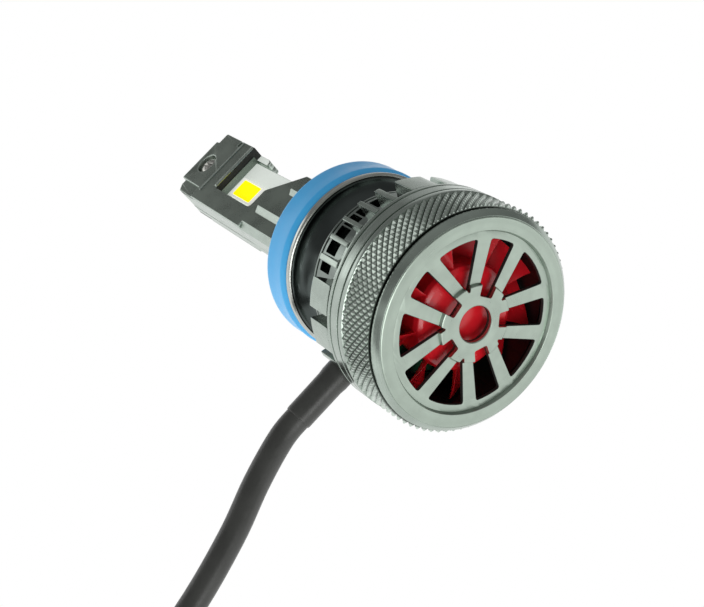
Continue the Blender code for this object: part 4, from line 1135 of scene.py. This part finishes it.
def add_rib(bm, middle, face):
    rib = rectangle(middle - 0.4, face, middle + 0.4, face + 0.45, 0.15)
    slab(bm, [rib], -135.0, -122.5, 0.12, hanging, 2)


def latch(bm, face):
    """Locking ramp and its two side guides."""
    outline = fillet([(face + 0.6, -134.2), (face - 0.2, -134.0), (face - 1.5, -129.2), (face + 0.6, -129.0)],
                     [0, 0.2, 0.25, 0], 3)
    slab(bm, [outline], PLUG_X - 2.5, PLUG_X + 2.5, 0.15, along_x, 2)
    for side in (-1.0, 1.0):
        middle = PLUG_X + side * 4.3
        guide = rectangle(middle - 0.5, face - 0.1, middle + 0.5, face + 0.6, 0.15)
        slab(bm, [guide], -136.0, -122.5, 0.12, hanging, 2)


# ---- pieces kept from the frame

CAD_LOOKS = {
    "core_board": "board_white",
    "tip_nut": "steel",
    "neck_ring": "black_rubber",
    "fan_frame": "black_plastic",
    "rotor_magnet": "magnet",
    "fan_shaft": "steel",
    "bearing_bush": "bronze",
    "stator_core": "copper",
    "fan_board": "circuit_board",
    "driver_board": "circuit_board",
    "driver_capacitor": "steel",
    "driver_inductor": "magnet",
    "driver_chip": "black_plastic",
    "led_lead_upper": "red_plastic",
    "led_lead_lower": "cable_jacket",
}


def dress_frame():
    for name, look in CAD_LOOKS.items():
        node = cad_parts[name]
        node.data.materials.clear()
        node.data.materials.append(LOOKS[look])
        node.data.shade_smooth()
        node.data.set_sharp_from_angle(angle=radians(30.0))


# ---- studio

def emitter(name, place_at, aim, size, power):
    data = bpy.data.lights.new(name, "AREA")
    data.shape = "RECTANGLE"
    data.size, data.size_y = size
    data.energy = power
    lamp = add_object(name, data)
    lamp.location = place_at
    lamp.visible_camera = False
    lamp.rotation_mode = "QUATERNION"
    lamp.rotation_quaternion = (Vector(aim) - Vector(place_at)).to_track_quat("-Z", "Y")


FLOOR_R = 0.2


def make_floor():
    bm = bmesh.new()
    bmesh.ops.create_circle(bm, cap_ends=True, segments=96, radius=FLOOR_R)
    mesh = bpy.data.meshes.new("floor")
    bm.to_mesh(mesh)
    bm.free()
    floor = add_object("floor", mesh)
    floor.location = (0.0, 0.0, -0.3)
    n = Nodes("floor")
    tone = n.noise(3.0, 2.0)
    base = n.mix(n.remap(tone, 0.3, 0.7, 0.0, 1.0), (0.93, 0.93, 0.93), (0.96, 0.96, 0.96))
    glow = {"Emission Color": (1.0, 1.0, 1.0), "Emission Strength": 0.6}
    mesh.materials.append(shade(n, base, 0.0, 0.9, None, glow))


def make_world():
    """White to the camera; to the object, a light tent: bright below and behind, dark in front and above."""
    n = Nodes("studio", bpy.data.worlds, "Generated")
    bpy.context.scene.world = n.owner
    bright = n.facing((0.15, -0.745, 0.65))
    ramp = n.tree.nodes.new("ShaderNodeValToRGB")
    ramp.color_ramp.interpolation = "EASE"
    stops = ((0.0, 0.98), (0.3, 0.98), (0.54, 0.98), (0.628, 0.24), (0.8, 0.22), (0.97, 0.32))
    while len(ramp.color_ramp.elements) < len(stops):
        ramp.color_ramp.elements.new(0.5)
    for element, (place_at, value) in zip(ramp.color_ramp.elements, stops):
        element.position = place_at
        element.color = (value, value, value, 1.0)
    n.put(ramp.inputs["Fac"], n.remap(bright, -1.0, 1.0, 0.0, 1.0))
    dim = n.remap(n.facing((0.54, -0.30, -0.79)), 0.91, 0.985, 1.0, 0.28)
    tone = n.add("ShaderNodeVectorMath", 0, {0: ramp.outputs["Color"], "Scale": dim}, operation="SCALE")
    tent = n.add("ShaderNodeBackground", 0, {"Color": tone, "Strength": 1.0})
    white = n.add("ShaderNodeBackground", 0, {"Color": (1.0, 1.0, 1.0), "Strength": 1.0})
    to_camera = n.add("ShaderNodeLightPath", "Is Camera Ray")
    mix = n.add("ShaderNodeMixShader", 0, {0: to_camera, 1: tent, 2: white})
    n.put(n.tree.nodes["World Output"].inputs["Surface"], mix)
    n.tree.nodes.remove(n.tree.nodes["Background"])


def make_studio():
    scene = bpy.context.scene
    scene.view_settings.view_transform = "Standard"
    scene.view_settings.look = "None"
    make_floor()
    make_world()
    target = (0.0, 0.0, 0.0)
    emitter("strip_left", (-0.42, -0.28, -0.13), target, (0.12, 0.2), 0.05)
    emitter("top_box", (-0.42, -0.05, 0.33), target, (0.2, 0.2), 0.03)
    emitter("fill_box", (0.3, 0.35, 0.25), target, (0.25, 0.25), 0.06)
    emitter("wheel_box", (0.5, 0.0, -0.1), target, (0.25, 0.25), 0.6)


# ---- build

make_camera()
LOOKS = {name: maker(name, *values) for name, (maker, *values) in RECIPES.items()}
make_cord()
make_relief()
make_stem()
make_collar()
make_cooler()
make_sleeve()
make_wheel()
make_fan()
dress_frame()
make_studio()
